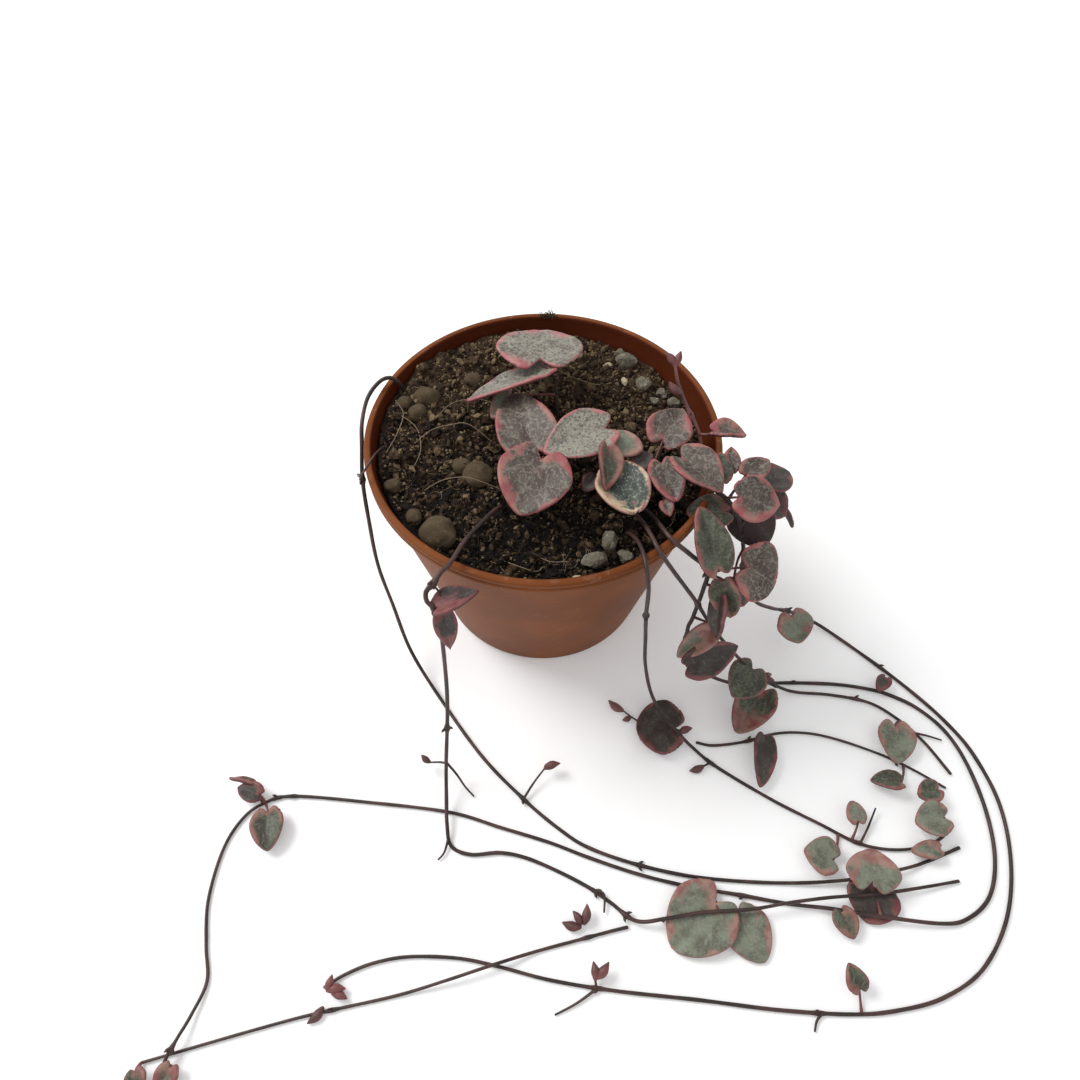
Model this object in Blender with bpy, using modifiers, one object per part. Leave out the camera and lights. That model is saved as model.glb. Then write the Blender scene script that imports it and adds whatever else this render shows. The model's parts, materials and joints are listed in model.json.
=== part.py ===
"""Potted string of hearts: a variegated trailing plant in a plastic nursery pot.

The pot stands on z = 0 with the centre of its base at the origin. Its stems leave the soil, hang over
the rim and trail over the surface that the pot stands on. Leaves, stems, stones, soil and pot are
separate closed solids that keep a small clearance, so each can be finished on its own.

The tables below are in millimetres. Everything is turned into metres when a mesh or curve is made.
"""

import math

import bmesh
import bpy
from mathutils import Matrix, Vector, noise

MM = 0.001
CLEARANCE = 0.3          # kept between pieces that touch on the real plant
SMOOTH_ANGLE = 40        # edges sharper than this stay crisp on the pot
ROUND_ANGLE = 60         # and than this on the soil, stones and stems

# ---- pot: a 10.5 cm thin-walled nursery pot -------------------------------------------------------
POT_HEIGHT = 78.0
RIM_RADIUS = 52.5        # outside of the rolled lip
BASE_RADIUS = 36.4       # outside of the foot
WALL = 1.1
LIP_WIDTH = 2.2
LIP_DEPTH = 4.2
LIP_STEPS = 5            # facets over the rounded top of the lip
LIP_ROUND = 0.8          # height of that rounded top
LIP_OVERLAP = 0.3        # how far the lip sits over the top of the wall
LIP_CHAMFER = 0.5
FOOT_CHAMFER = 0.6
FLOOR_CORNER = 1.5       # slope between the floor and the wall inside
FLOOR = 1.6
POT_STEPS = 56
DRAIN_COUNT = 6
DRAIN_RADIUS = 3.2
DRAIN_CIRCLE = 22.0
FOOT_SLOTS = 8           # shallow slots under the foot let water run out
FOOT_SLOT_WIDTH = 7.0
FOOT_SLOT_DEPTH = 1.0
FOOT_SLOT_LENGTH = 8.0

# ---- soil ----------------------------------------------------------------------------------------
SOIL_LEVEL = 71.5        # at the pot's axis
SOIL_SLOPE_X = -0.06     # the surface falls towards +X
SOIL_SLOPE_Y = 0.035     # and rises towards +Y
SOIL_RINGS = 8
SOIL_STEPS = 36
SOIL_BUMP = 1.2
LUMP_SIZE = 11.0
SMALL_LUMP_SIZE = 5.0
SOCKET_ABOVE = 2.0       # a stem's socket is cut to this far above the surface

# ---- stones ---------------------------------------------------------------------------------------
STONE_BULGE = 0.16         # unevenness as a share of the size
# Each row: centre x and y, height above the soil, half sizes x, y and z, material.
STONES = {
    "stone_clay_large": ((-29, -33, 1.2), (5.3, 4.8, 4.4), "stone_clay"),
    "stone_clay_back": ((-36, 17, 1.0), (4.2, 3.2, 3.2), "stone_clay"),
    "stone_clay_middle": ((-19, -12, 0.0), (4.6, 4.2, 3.6), "stone_clay"),
    "stone_grey_back": ((27, 35, 1.2), (3.3, 2.9, 2.8), "stone_grey"),
    "stone_grey_corner": ((32, 26, 0.8), (2.8, 2.6, 2.4), "stone_grey"),
    "stone_grey_front": ((14, -40, 1.2), (3.6, 3.1, 3.0), "stone_grey"),
    "stone_grey_tall": ((18.5, -34, 1.5), (2.5, 3.0, 3.2), "stone_grey"),
}

# ---- stems: points along the middle of each stem, radius at the root and at the tip ------------------
STEM_SPACING = 8.0
STEMS = {
    "stem_left": (0.68, 0.55, [
        (-42.5, 19.5, 66), (-43, 19.8, 72), (-44.2, 20.1, 77.4), (-46.6, 19.9, 80.2), (-49.8, 18.2, 80.2),
        (-53, 13.2, 78.6), (-54, 5, 77), (-54, -1, 73.5), (-54.4, -8, 65.5), (-54, -14, 54),
        (-53, -21, 38), (-50, -27, 22), (-45, -37, 8), (-35, -51, 1.4), (-20, -71, 0.9), (-6, -85, 0.8),
        (5, -94, 0.7), (14, -99.5, 0.7), (29, -104.5, 0.7), (47, -108, 0.7), (70, -109.5, 0.7),
        (90, -109, 2.4), (107, -106, 2.2), (116, -103.5, 0.7), (127, -99.5, 0.7)]),
    "stem_front": (0.72, 0.5, [
        (-8, -20, 64), (-11, -23, 71), (-13, -26, 75), (-20, -38, 79), (-24, -48, 81.5), (-26, -50.8, 82),
        (-27.8, -53.9, 81.4), (-29.6, -55.6, 80.2), (-29.4, -57.5, 78.6), (-27.7, -58.4, 77),
        (-27.2, -58.7, 70), (-27.1, -59.9, 62), (-28, -66, 35), (-30, -77, 11), (-30, -86, 4),
        (-29.5, -93, 2.6), (-28, -99, 0.7), (-22, -101.5, 0.7), (-13, -101, 0.7), (-5, -102.5, 0.7),
        (5, -106.5, 0.7), (14, -111, 0.7), (20, -115, 0.7), (27, -120, 2.2), (36, -119.5, 4),
        (46, -118, 4), (60, -117.2, 4.2), (72, -115.4, 4.2), (84, -114, 4), (98, -113, 3.4),
        (112, -111, 2), (124, -109, 0.7)]),
    "stem_front_fork": (0.52, 0.42, [
        (24.5, -121.4, 0.7), (19, -122.6, 0.7), (9, -125, 0.7), (-1, -127.4, 0.7), (-10, -130, 2.2),
        (-18, -132.4, 2.9), (-27, -135, 2.2), (-40, -138.4, 0.7), (-56, -141.6, 0.7), (-66, -143.6, 0.7),
        (-80, -147, 0.7), (-97, -151.4, 0.7), (-107, -154, 0.7)]),
    "stem_outer_loop": (0.72, 0.5, [
        (14, -7, 64), (18, -7.5, 71), (24, -9, 74.5), (32, -13, 77), (40, -19, 79.5), (48, -24.5, 80.6),
        (54, -27, 74), (58, -29.5, 62), (62, -29.5, 44), (69, -28.5, 28), (78, -26, 18), (86, -22, 9),
        (97, -23, 2.5), (107, -30, 0.7), (117, -39.5, 0.7), (126, -49, 0.7), (134, -59, 0.7),
        (140, -70, 0.7), (143.5, -86, 0.7), (141.5, -103, 0.7), (135, -119, 0.7), (124, -132, 0.7),
        (111, -139, 0.7), (98, -142, 0.7), (85, -143, 0.7), (65, -142, 0.7), (43, -139.6, 0.7),
        (20, -137.4, 0.7), (2, -134.8, 0.7), (-12, -131.6, 0.7), (-24, -129.4, 0.7), (-38, -129, 0.7),
        (-48, -130.6, 0.7), (-56, -133.6, 0.7), (-61, -136.6, 0.7)]),
    "stem_inner_loop": (0.72, 0.5, [
        (28, -20, 64), (28.6, -23, 71), (31, -31, 76.4), (33.9, -38.9, 79.3), (39.8, -40.2, 73.5),
        (45.6, -40.4, 66), (45.8, -41.6, 57), (44.6, -44, 45.5), (44.2, -45.4, 37), (52, -46.6, 15),
        (62, -46, 3), (72, -45.6, 0.7), (88, -45.6, 0.7), (101, -46.2, 0.7), (111, -47.8, 0.7),
        (118, -50, 0.7), (126, -54.6, 0.7), (133, -62.4, 0.7), (137, -73, 0.7), (138.6, -88, 0.7),
        (137, -102, 0.7), (132, -113, 0.7), (124, -119, 0.7), (115, -120.6, 1.6), (95, -118.6, 3.2),
        (84, -116.8, 2.4), (72, -115.2, 0.7), (58, -112.8, 0.7), (44, -110.6, 0.7), (29, -107.2, 0.7),
        (14, -102.4, 0.7), (2, -98, 0.7), (-13, -93.6, 0.7), (-29, -89, 0.7), (-54, -86, 0.7),
        (-79, -84, 0.7), (-88, -86.4, 0.7), (-93.5, -91, 0.7), (-97.4, -100, 0.7), (-98.6, -114, 0.7),
        (-96.4, -126, 0.7), (-94, -135, 0.7), (-96, -143, 1.6), (-98, -148.5, 2.8), (-99.6, -152.5, 2.9),
        (-101, -156, 2.2)]),
    "stem_right": (0.68, 0.5, [
        (23.5, -20, 64), (24.5, -23, 71), (27, -31, 76.2), (28.9, -38, 78.9), (30.4, -42.6, 79.1),
        (34.6, -44.8, 73), (39, -45, 65), (43.6, -45.8, 57), (50, -47.2, 45), (59, -48, 30),
        (68, -48.2, 17), (76.3, -48.2, 7), (85, -49, 1.3), (98, -50, 0.7), (110, -52.6, 0.7),
        (118, -58, 0.7), (125, -66, 0.7), (131, -77, 0.7)]),
    "stem_right_low": (0.68, 0.5, [
        (23, -28, 64), (24, -31.5, 71), (25.5, -39, 77.4), (26.4, -46, 79.4), (27.4, -51.2, 75),
        (28.4, -51.4, 60), (30, -50.5, 45), (31.5, -52.5, 30), (35, -56, 15), (40, -61.5, 7.5),
        (44, -64.4, 4.3), (48.5, -68, 1.2), (56, -74.6, 0.7), (72, -85, 0.7), (86, -92.6, 0.7),
        (96, -98, 0.7), (105, -100, 0.7), (114, -99.6, 0.7), (121, -97.4, 0.7), (127, -93, 0.7)]),
    "stem_right_branch": (0.52, 0.42, [
        (50.4, -66.6, 0.7), (56, -67.6, 0.7), (66, -66.4, 0.7), (77, -63.6, 0.7), (87, -63.4, 0.7),
        (97, -65.6, 0.7), (110, -70.6, 0.7), (119, -75.4, 0.7), (128, -81.4, 0.7)]),
    "stem_upright": (0.7, 0.5, [
        (41, -13, 63), (44, -11, 70), (45.8, -8, 76), (44.5, -3.5, 82), (41.5, 1.5, 86), (38.5, 6, 91),
        (37, 9, 96)]),
    "stem_crown_back": (0.68, 0.55, [
        (4, 9, 65), (4.5, 11, 72), (4, 14, 79), (4, 16.6, 84)]),
    "stem_crown_middle": (0.68, 0.55, [
        (0, -9, 65), (-0.5, -10.5, 70), (-1, -11.5, 75), (-0.5, -12, 79)]),
    "stem_crown_right": (0.68, 0.55, [
        (12, -14, 64), (14, -14.5, 70), (17, -14.8, 75), (18, -14.5, 79)]),
}

# ---- leaves: stem, base, tip, direction the upper face looks, width, fold in degrees, material ---------
# The base is where the leaf stalk meets the blade, in the notch between the two lobes of the heart.
LEAF_ROWS = 5
LEAF_COLUMNS = 6           # even, so that one line of points runs down the midrib
LEAF_THICKNESS = 0.9
STALK_RADIUS = 0.5
STALK_REACH = 1.6          # how far the stalk runs into the blade past the notch
WIDEST_AT = 0.3            # share of the length at which the blade is widest
BACK_ROUNDING = 0.46       # larger numbers make the back of the lobes squarer
TIP_NARROWING = 0.12
LOBE_REACH = 0.17          # share of the width by which the lobes reach back past the notch
ARCH = 0.04                # rise of the middle of the blade as a share of its length
LEAVES = {
    "leaf_crown_back": ("stem_crown_back", (-0.6, 22, 88.6), (-1.6, 37, 86.6),
                        (0.5, 0, 10), 27, 4, "leaf_silver"),
    "leaf_crown_edge_on": ("stem_crown_back", (1, 16.4, 84.6), (-22, 9.6, 79.4),
                           (-2.5, 4.6, 8), 14, 8, "leaf_silver"),
    "leaf_crown_round": ("stem_crown_middle", (-0.6, -8.3, 80), (-9, 12.6, 80), (-1, -2, 10),
                         19, 6, "leaf_plum"),
    "leaf_crown_right": ("stem_crown_middle", (17.6, -4.7, 85.8), (0, -11, 84.8),
                         (0, -1, 10), 17, 10, "leaf_silver"),
    "leaf_crown_heart": ("stem_crown_middle", (-0.8, -15.6, 82), (-6.5, -31, 78),
                         (0, -3, 10), 22, 6, "leaf_plum"),
    "leaf_crown_small": ("stem_crown_right", (19.5, -8, 82), (28, -10.5, 82),
                         (0, -1, 10), 10, 4, "leaf_green"),
    "leaf_crown_folded": ("stem_crown_right", (18.8, -15.8, 84.2), (17.4, -25.6, 82.4), (5, -1, 7), 10,
                          28, "leaf_green"),
    "leaf_crown_cream": ("stem_crown_right", (20.4, -18.8, 79.6), (24.6, -31, 78.6), (0, -2, 10), 14,
                         3, "leaf_cream"),
    "leaf_rim_silver": ("stem_outer_loop", (33.4, -6.4, 81), (38.4, 3, 83.6),
                        (0, 0, 1), 12, 10, "leaf_plum"),
    "leaf_rim_outer": ("stem_upright", (48.6, -5.8, 84), (57.4, -7, 84), (0, 1.5, 8), 9.5, 30, "leaf_plum"),
    "leaf_rim_folded": ("stem_outer_loop", (38.6, -16.6, 86.6), (48, -26.2, 85),
                        (3, -3, 9), 14.5, 24, "leaf_plum"),
    "leaf_rim_dark": ("stem_outer_loop", (33.6, -17.4, 80.8), (36, -27.5, 79.4),
                      (0, -2, 10), 9.5, 8, "leaf_plum"),
    "leaf_fall_top": ("stem_outer_loop", (52.6, -28, 83), (64.6, -27.5, 79),
                      (2, -5, 9), 14, 12, "leaf_plum"),
    "leaf_fall_right": ("stem_outer_loop", (62.5, -18.5, 77), (71, -12, 74), (3, 2, 9), 12, 6, "leaf_plum"),
    "leaf_fall_green": ("stem_inner_loop", (47.3, -42.4, 70), (41.7, -28.9, 80), (3, -5, 8), 12.5,
                        16, "leaf_green"),
    "leaf_fall_low": ("stem_inner_loop", (59, -39, 66), (67, -40.5, 61), (3, -5, 7), 15,
                      12, "leaf_plum"),
    "leaf_fall_under": ("stem_outer_loop", (61, -23, 72), (66.5, -32, 66), (2, 3, -8), 14, 8, "leaf_plum"),
    "leaf_hang_upper": ("stem_inner_loop", (50, -43, 62.4), (54, -48, 51), (-3, -7, 5), 9,
                        22, "leaf_green"),
    "leaf_hang_right": ("stem_outer_loop", (54.7, -39.3, 60), (58.6, -42.8, 50), (1, -7, 6), 9,
                        14, "leaf_plum"),
    "leaf_hang_left": ("stem_inner_loop", (46.6, -48.9, 46), (40.2, -53, 37), (-5, -6, 6), 10,
                       26, "leaf_green"),
    "leaf_hang_dark": ("stem_inner_loop", (47, -58, 34.4), (61, -52.4, 34.4), (0, -7, 8), 11,
                       18, "leaf_plum"),
    "leaf_floor_cup": ("stem_right", (74.5, -53.4, 7.4), (64.5, -66.2, 4), (0, 0, 1), 15,
                       20, "leaf_green"),
    "leaf_floor_tall": ("stem_right", (66.6, -53, 20), (60, -61.5, 18), (0, -4, 9), 14, 10, "leaf_green"),
    "leaf_floor_hanging": ("stem_right_branch", (72, -68.4, 2.4), (68.4, -82, 2), (3, 0, 9), 9,
                           16, "leaf_plum"),
    "leaf_floor_kidney": ("stem_right_low", (40.6, -65.6, 2.4), (30, -62, 1.8),
                          (0, 0, 1), 19, 4, "leaf_plum"),
    "leaf_floor_rose": ("stem_outer_loop", (84.7, -27.6, 15), (87.5, -35.4, 11), (0, -1, 10), 14,
                        10, "leaf_green"),
    "leaf_floor_pale": ("stem_right", (115.7, -62.3, 3.6), (113.8, -74.4, 3), (0, 0, 1), 13,
                        8, "leaf_green"),
    "leaf_floor_crescent": ("stem_right_branch", (112.6, -80.6, 3.6), (103.8, -79.4, 3.6), (0, 3, 10), 8,
                            18, "leaf_green"),
    "leaf_floor_small": ("stem_right_branch", (123, -83, 5), (117, -85, 4), (0, 0, 1), 8, 10, "leaf_green"),
    "leaf_floor_edge": ("stem_right_low", (122, -92, 6), (114, -93, 4), (0, 0, 1), 12, 15, "leaf_green"),
    "leaf_floor_pointed": ("stem_right_low", (86.6, -103.4, 3), (78.8, -100.6, 3), (0, 0, 1), 12.5,
                           12, "leaf_green"),
    "leaf_floor_round": ("stem_right_low", (96.5, -92.5, 4), (96, -86.5, 4),
                         (0, 0, 1), 6.5, 0, "leaf_green"),
    "leaf_floor_upper": ("stem_left", (96.1, -110, 5.6), (97.8, -101.5, 7.4), (0, 0, 1), 17,
                         6, "leaf_green"),
    "leaf_floor_lower": ("stem_inner_loop", (98.2, -111.1, 0.8), (94.2, -120.5, 0.8), (0, 0, 1), 16.5,
                         3, "leaf_plum"),
    "leaf_floor_large": ("stem_front", (50.5, -115.1, 2.2), (37, -127.2, 1), (0, 0, 1), 22,
                         4, "leaf_green"),
    "leaf_floor_half": ("stem_front", (56.8, -118.4, 0.8), (62.7, -130.5, 0.8), (0, 0, 1), 15,
                        3, "leaf_green"),
    "leaf_end_left": ("stem_inner_loop", (-85, -90, 3.5), (-83, -101, 3), (0, 0, 1), 11, 10, "leaf_green"),
    "leaf_front_top": ("stem_front", (-24.8, -58.2, 78), (-16.4, -54.6, 79), (-1, 1.6, 9), 8,
                       24, "leaf_plum"),
    "leaf_front_hanging": ("stem_front", (-26.6, -61.6, 74.4), (-26, -65, 63), (2, -7, 3.4), 7,
                           26, "leaf_plum"),
}

# ---- plain colours: base colour, roughness --------------------------------------------------------
COLOURS = {
    "pot_plastic": ((0.42, 0.13, 0.06), 0.45),
    "potting_soil": ((0.045, 0.028, 0.018), 0.95),
    "stone_clay": ((0.16, 0.10, 0.06), 0.85),
    "stone_grey": ((0.22, 0.21, 0.18), 0.9),
    "stem_skin": ((0.06, 0.03, 0.03), 0.6),
    "leaf_silver": ((0.28, 0.29, 0.26), 0.5),
    "leaf_plum": ((0.24, 0.10, 0.12), 0.5),
    "leaf_green": ((0.09, 0.10, 0.07), 0.5),
    "leaf_cream": ((0.42, 0.44, 0.32), 0.5),
}


def clear_scene():
    for old in list(bpy.data.objects):
        bpy.data.objects.remove(old, do_unlink=True)


def make_collection(name):
    collection = bpy.data.collections.new(name)
    bpy.context.scene.collection.children.link(collection)
    return collection


def make_materials():
    materials = {}
    for name, (colour, roughness) in COLOURS.items():
        material = bpy.data.materials.new(name)
        material.use_nodes = True
        shader = material.node_tree.nodes["Principled BSDF"]
        shader.inputs["Base Color"].default_value = (*colour, 1.0)
        shader.inputs["Roughness"].default_value = roughness
        shader.inputs["Metallic"].default_value = 0.0
        materials[name] = material
    return materials


def add_object(name, data, collection, material=None):
    piece = bpy.data.objects.new(name, data)
    collection.objects.link(piece)
    if material is not None:
        data.materials.append(material)
    return piece


def mark_cutter(piece):
    piece.hide_render = True
    piece.display_type = "WIRE"


def add_boolean(piece, cutter, operation):
    boolean = piece.modifiers.new(f"{operation.lower()} {cutter.name}", "BOOLEAN")
    boolean.object = cutter
    boolean.operation = operation
    boolean.solver = "EXACT"


def mesh_from_bmesh(name, shape):
    mesh = bpy.data.meshes.new(name)
    shape.to_mesh(mesh)
    shape.free()
    return mesh


def real_mesh(piece, name):
    """A mesh of the piece as its modifiers or curve settings make it, with loose caps welded."""
    bpy.context.view_layer.update()
    evaluated = piece.evaluated_get(bpy.context.evaluated_depsgraph_get())
    mesh = bpy.data.meshes.new_from_object(evaluated)
    mesh.name = name
    shape = bmesh.new()
    shape.from_mesh(mesh)
    bmesh.ops.remove_doubles(shape, verts=shape.verts, dist=0.01 * MM)
    shape.to_mesh(mesh)
    shape.free()
    bpy.data.objects.remove(piece, do_unlink=True)
    return mesh


def smooth_shading(mesh, angle=SMOOTH_ANGLE):
    mesh.shade_smooth()
    mesh.set_sharp_from_angle(angle=math.radians(angle))


# ---- pot -------------------------------------------------------------------------------------------

def wall_radius(z):
    """Outside radius of the tapered wall at height z."""
    top = RIM_RADIUS - LIP_WIDTH + LIP_OVERLAP
    return BASE_RADIUS + (top - BASE_RADIUS) * z / (POT_HEIGHT - LIP_DEPTH)


def pot_profile():
    """Half section of the pot, from the inside of the floor up over the lip and down to the base."""
    lip_bottom = POT_HEIGHT - LIP_DEPTH
    corner_top = FLOOR + FLOOR_CORNER
    inside = [(0.0, FLOOR), (wall_radius(FLOOR) - WALL - FLOOR_CORNER, FLOOR),
              (wall_radius(corner_top) - WALL, corner_top),
              (wall_radius(lip_bottom) - WALL, lip_bottom),
              (RIM_RADIUS - LIP_WIDTH, POT_HEIGHT - LIP_ROUND)]
    lip = []
    for step in range(LIP_STEPS + 1):
        angle = math.pi * (1 - step / LIP_STEPS)
        lip.append((RIM_RADIUS - LIP_WIDTH / 2 + LIP_WIDTH / 2 * math.cos(angle),
                    POT_HEIGHT - LIP_ROUND + LIP_ROUND * math.sin(angle)))
    outside = [(RIM_RADIUS, lip_bottom + LIP_CHAMFER), (RIM_RADIUS - LIP_CHAMFER, lip_bottom),
               (wall_radius(lip_bottom), lip_bottom), (wall_radius(2 * FOOT_CHAMFER), 2 * FOOT_CHAMFER),
               (BASE_RADIUS - FOOT_CHAMFER, FOOT_CHAMFER), (BASE_RADIUS - 2 * FOOT_CHAMFER, 0.0), (0.0, 0.0)]
    return inside + lip[1:] + outside


def turned(name, profile, steps, collection):
    """A closed solid turned about Z from a half section whose two ends lie on the axis."""
    mesh = bpy.data.meshes.new(name)
    points = [(radius * MM, 0.0, z * MM) for radius, z in profile]
    edges = [(i, i + 1) for i in range(len(points) - 1)]
    mesh.from_pydata(points, edges, [])
    piece = add_object(name, mesh, collection)
    screw = piece.modifiers.new("turn", "SCREW")
    screw.steps = steps
    screw.render_steps = steps
    screw.use_merge_vertices = True
    screw.merge_threshold = 0.0001
    return piece


def make_pot(parts, cutters, materials):
    pot = add_object("pot", real_mesh(turned("pot_turning", pot_profile(), POT_STEPS, parts), "pot"), parts)
    for number in range(DRAIN_COUNT):
        angle = 2 * math.pi * (number + 0.5) / DRAIN_COUNT
        shape = bmesh.new()
        bmesh.ops.create_cone(shape, cap_ends=True, segments=16, radius1=DRAIN_RADIUS * MM,
                              radius2=DRAIN_RADIUS * MM, depth=3 * FLOOR * MM)
        drain = add_object(f"drain_{number}", mesh_from_bmesh(f"drain_{number}", shape), cutters)
        drain.location = Vector((math.cos(angle), math.sin(angle), 0)) * DRAIN_CIRCLE * MM
        mark_cutter(drain)
        add_boolean(pot, drain, "DIFFERENCE")
    for number in range(FOOT_SLOTS):
        angle = 2 * math.pi * (number + 0.5) / FOOT_SLOTS
        shape = bmesh.new()
        bmesh.ops.create_cube(shape, size=1.0)
        size = Vector((FOOT_SLOT_LENGTH, FOOT_SLOT_WIDTH, 2 * FOOT_SLOT_DEPTH)) * MM
        bmesh.ops.scale(shape, vec=size, verts=shape.verts)
        slot = add_object(f"foot_slot_{number}", mesh_from_bmesh(f"foot_slot_{number}", shape), cutters)
        slot.rotation_euler.z = angle
        slot.location = Vector((math.cos(angle), math.sin(angle), 0)) * BASE_RADIUS * MM
        mark_cutter(slot)
        add_boolean(pot, slot, "DIFFERENCE")
    pot.data.materials.append(materials["pot_plastic"])
    smooth_shading(pot.data)
    return pot


# ---- soil and stones -----------------------------------------------------------------------------

def soil_height(x, y):
    """Height of the loose surface: a gentle slope with soft lumps."""
    lumps = noise.noise(Vector((x, y, 0.0)) / LUMP_SIZE)
    lumps += 0.5 * noise.noise(Vector((x, y, 9.0)) / SMALL_LUMP_SIZE)
    return SOIL_LEVEL + SOIL_SLOPE_X * x + SOIL_SLOPE_Y * y + SOIL_BUMP * lumps


def soil_profile():
    """Half section of the soil plug: across the top, down beside the wall, and back under."""
    outer = wall_radius(SOIL_LEVEL) - WALL - CLEARANCE
    top = [(outer * ring / SOIL_RINGS, SOIL_LEVEL) for ring in range(SOIL_RINGS + 1)]
    bottom = FLOOR + CLEARANCE
    corner = FLOOR_CORNER + 1.0
    side = [(wall_radius(z) - WALL - CLEARANCE, z) for z in (POT_HEIGHT / 2, bottom + corner)]
    return top + side + [(wall_radius(bottom) - WALL - corner, bottom), (0.0, bottom)]


def make_soil(parts, materials):
    mesh = real_mesh(turned("soil_turning", soil_profile(), SOIL_STEPS, parts), "soil")
    for vertex in mesh.vertices:
        if abs(vertex.co.z - SOIL_LEVEL * MM) > 0.01 * MM:
            continue
        height = soil_height(vertex.co.x / MM, vertex.co.y / MM)
        radius = math.hypot(vertex.co.x, vertex.co.y)
        limit = (wall_radius(height) - WALL - CLEARANCE) * MM
        if radius > 0.98 * wall_radius(SOIL_LEVEL) * MM - WALL * MM:
            vertex.co.x *= limit / radius
            vertex.co.y *= limit / radius
        vertex.co.z = height * MM
    soil = add_object("soil", mesh, parts, materials["potting_soil"])
    smooth_shading(mesh, ROUND_ANGLE)
    return soil


def stone_mesh(name, sizes, grow, seed):
    """A rounded stone: a ball with uneven bulges, stretched to its three half sizes."""
    shape = bmesh.new()
    bmesh.ops.create_icosphere(shape, subdivisions=2, radius=1.0)
    for vertex in shape.verts:
        bulge = 1.0 + STONE_BULGE * noise.noise(vertex.co * 1.3 + Vector((seed, 0.0, 0.0)))
        vertex.co = Vector((vertex.co[axis] * (sizes[axis] * bulge + grow) * MM for axis in range(3)))
    return mesh_from_bmesh(name, shape)


def make_stones(soil, parts, cutters, materials):
    for seed, (name, (place, sizes, material)) in enumerate(STONES.items()):
        x, y, above = place
        centre = Vector((x, y, soil_height(x, y) + above)) * MM
        stone = add_object(name, stone_mesh(name, sizes, 0.0, seed * 3.7), parts, materials[material])
        stone.location = centre
        smooth_shading(stone.data, ROUND_ANGLE)
        socket = add_object(f"{name}_socket", stone_mesh(name, sizes, CLEARANCE, seed * 3.7), cutters)
        socket.location = centre
        mark_cutter(socket)
        add_boolean(soil, socket, "DIFFERENCE")


# ---- stems -----------------------------------------------------------------------------------------

def smooth_route(points, spacing):
    """Points spaced along a Catmull-Rom curve through the route's own points, never lower than those."""
    points = [Vector(point) for point in points]
    lowest = min(point.z for point in points)
    ends = [2 * points[0] - points[1]] + points + [2 * points[-1] - points[-2]]
    route = []
    for i in range(1, len(ends) - 2):
        a, b, c, d = ends[i - 1:i + 3]
        pieces = max(1, round((c - b).length / spacing))
        for piece in range(pieces):
            t = piece / pieces
            place = 0.5 * (2 * b + (c - a) * t + (2 * a - 5 * b + 4 * c - d) * t * t
                           + (3 * b - a - 3 * c + d) * t ** 3)
            place.z = max(place.z, lowest)
            route.append(place)
    return route + [points[-1]]


def tube_object(name, route, radii, collection):
    """A capped tube along a route, as a welded mesh."""
    curve = bpy.data.curves.new(name, "CURVE")
    curve.dimensions = "3D"
    curve.bevel_depth = MM
    curve.bevel_resolution = 1
    curve.use_fill_caps = True
    spline = curve.splines.new("POLY")
    spline.points.add(len(route) - 1)
    for point, place, radius in zip(spline.points, route, radii):
        point.co = (*(place * MM), 1.0)
        point.radius = radius
    mesh = real_mesh(add_object(f"{name}_curve", curve, collection), name)
    smooth_shading(mesh, ROUND_ANGLE)
    return add_object(name, mesh, collection)


def cut_root_socket(name, route, root_radius, soil, cutters):
    """Clears the soil round the buried first stretch of a stem."""
    buried = []
    for point in route:
        buried.append(point)
        if point.z > soil_height(point.x, point.y) + SOCKET_ABOVE:
            break
    below = buried[0] + (buried[0] - buried[1]).normalized() * 2 * CLEARANCE
    socket = tube_object(f"{name}_socket", [below] + buried,
                         [root_radius + 2 * CLEARANCE] * (len(buried) + 1), cutters)
    mark_cutter(socket)
    add_boolean(soil, socket, "DIFFERENCE")


def make_stems(soil, parts, cutters, materials):
    routes = {}
    for name, (root_radius, tip_radius, points) in STEMS.items():
        route = smooth_route(points, STEM_SPACING)
        last = len(route) - 1
        radii = [root_radius + (tip_radius - root_radius) * i / last for i in range(last + 1)]
        stem = tube_object(name, route, radii, parts)
        stem.data.materials.append(materials["stem_skin"])
        routes[name] = (smooth_route(points, 1.0), root_radius)
        if math.hypot(*points[0][:2]) < RIM_RADIUS:
            cut_root_socket(name, routes[name][0], root_radius, soil, cutters)
    return routes


# ---- leaves ----------------------------------------------------------------------------------------

def leaf_half_width(u):
    """Half width of a heart from its base (u = 0) to its tip (u = 1), as a share of the widest."""
    if u < WIDEST_AT:
        return math.sqrt(1 - ((WIDEST_AT - u) / BACK_ROUNDING) ** 2)
    ahead = (u - WIDEST_AT) / (1 - WIDEST_AT)
    return math.sqrt(max(0.0, 1 - ahead ** 2)) * (1 - TIP_NARROWING * u)


def leaf_point(u, v, length, width, fold):
    """A point of the blade: u runs from base to tip, v from -1 to 1 across. +Z is the upper face."""
    across = width / 2 * leaf_half_width(u) * v
    lobe = LOBE_REACH * width * math.sin(math.pi * abs(v)) * (1 - u) ** 2
    slope = math.tan(math.radians(fold))
    rise = slope * (math.sqrt(across ** 2 + 1.0) - 1.0)
    side = across * math.cos(math.radians(fold))
    arch = ARCH * length * math.sin(math.pi * u)
    return Vector((side, u * length - lobe, rise + arch))


def leaf_frame(base, tip, facing):
    forward = (tip - base).normalized()
    upper = (facing - facing.dot(forward) * forward).normalized()
    side = forward.cross(upper)
    return Matrix((side, forward, upper)).transposed().to_4x4()


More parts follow.
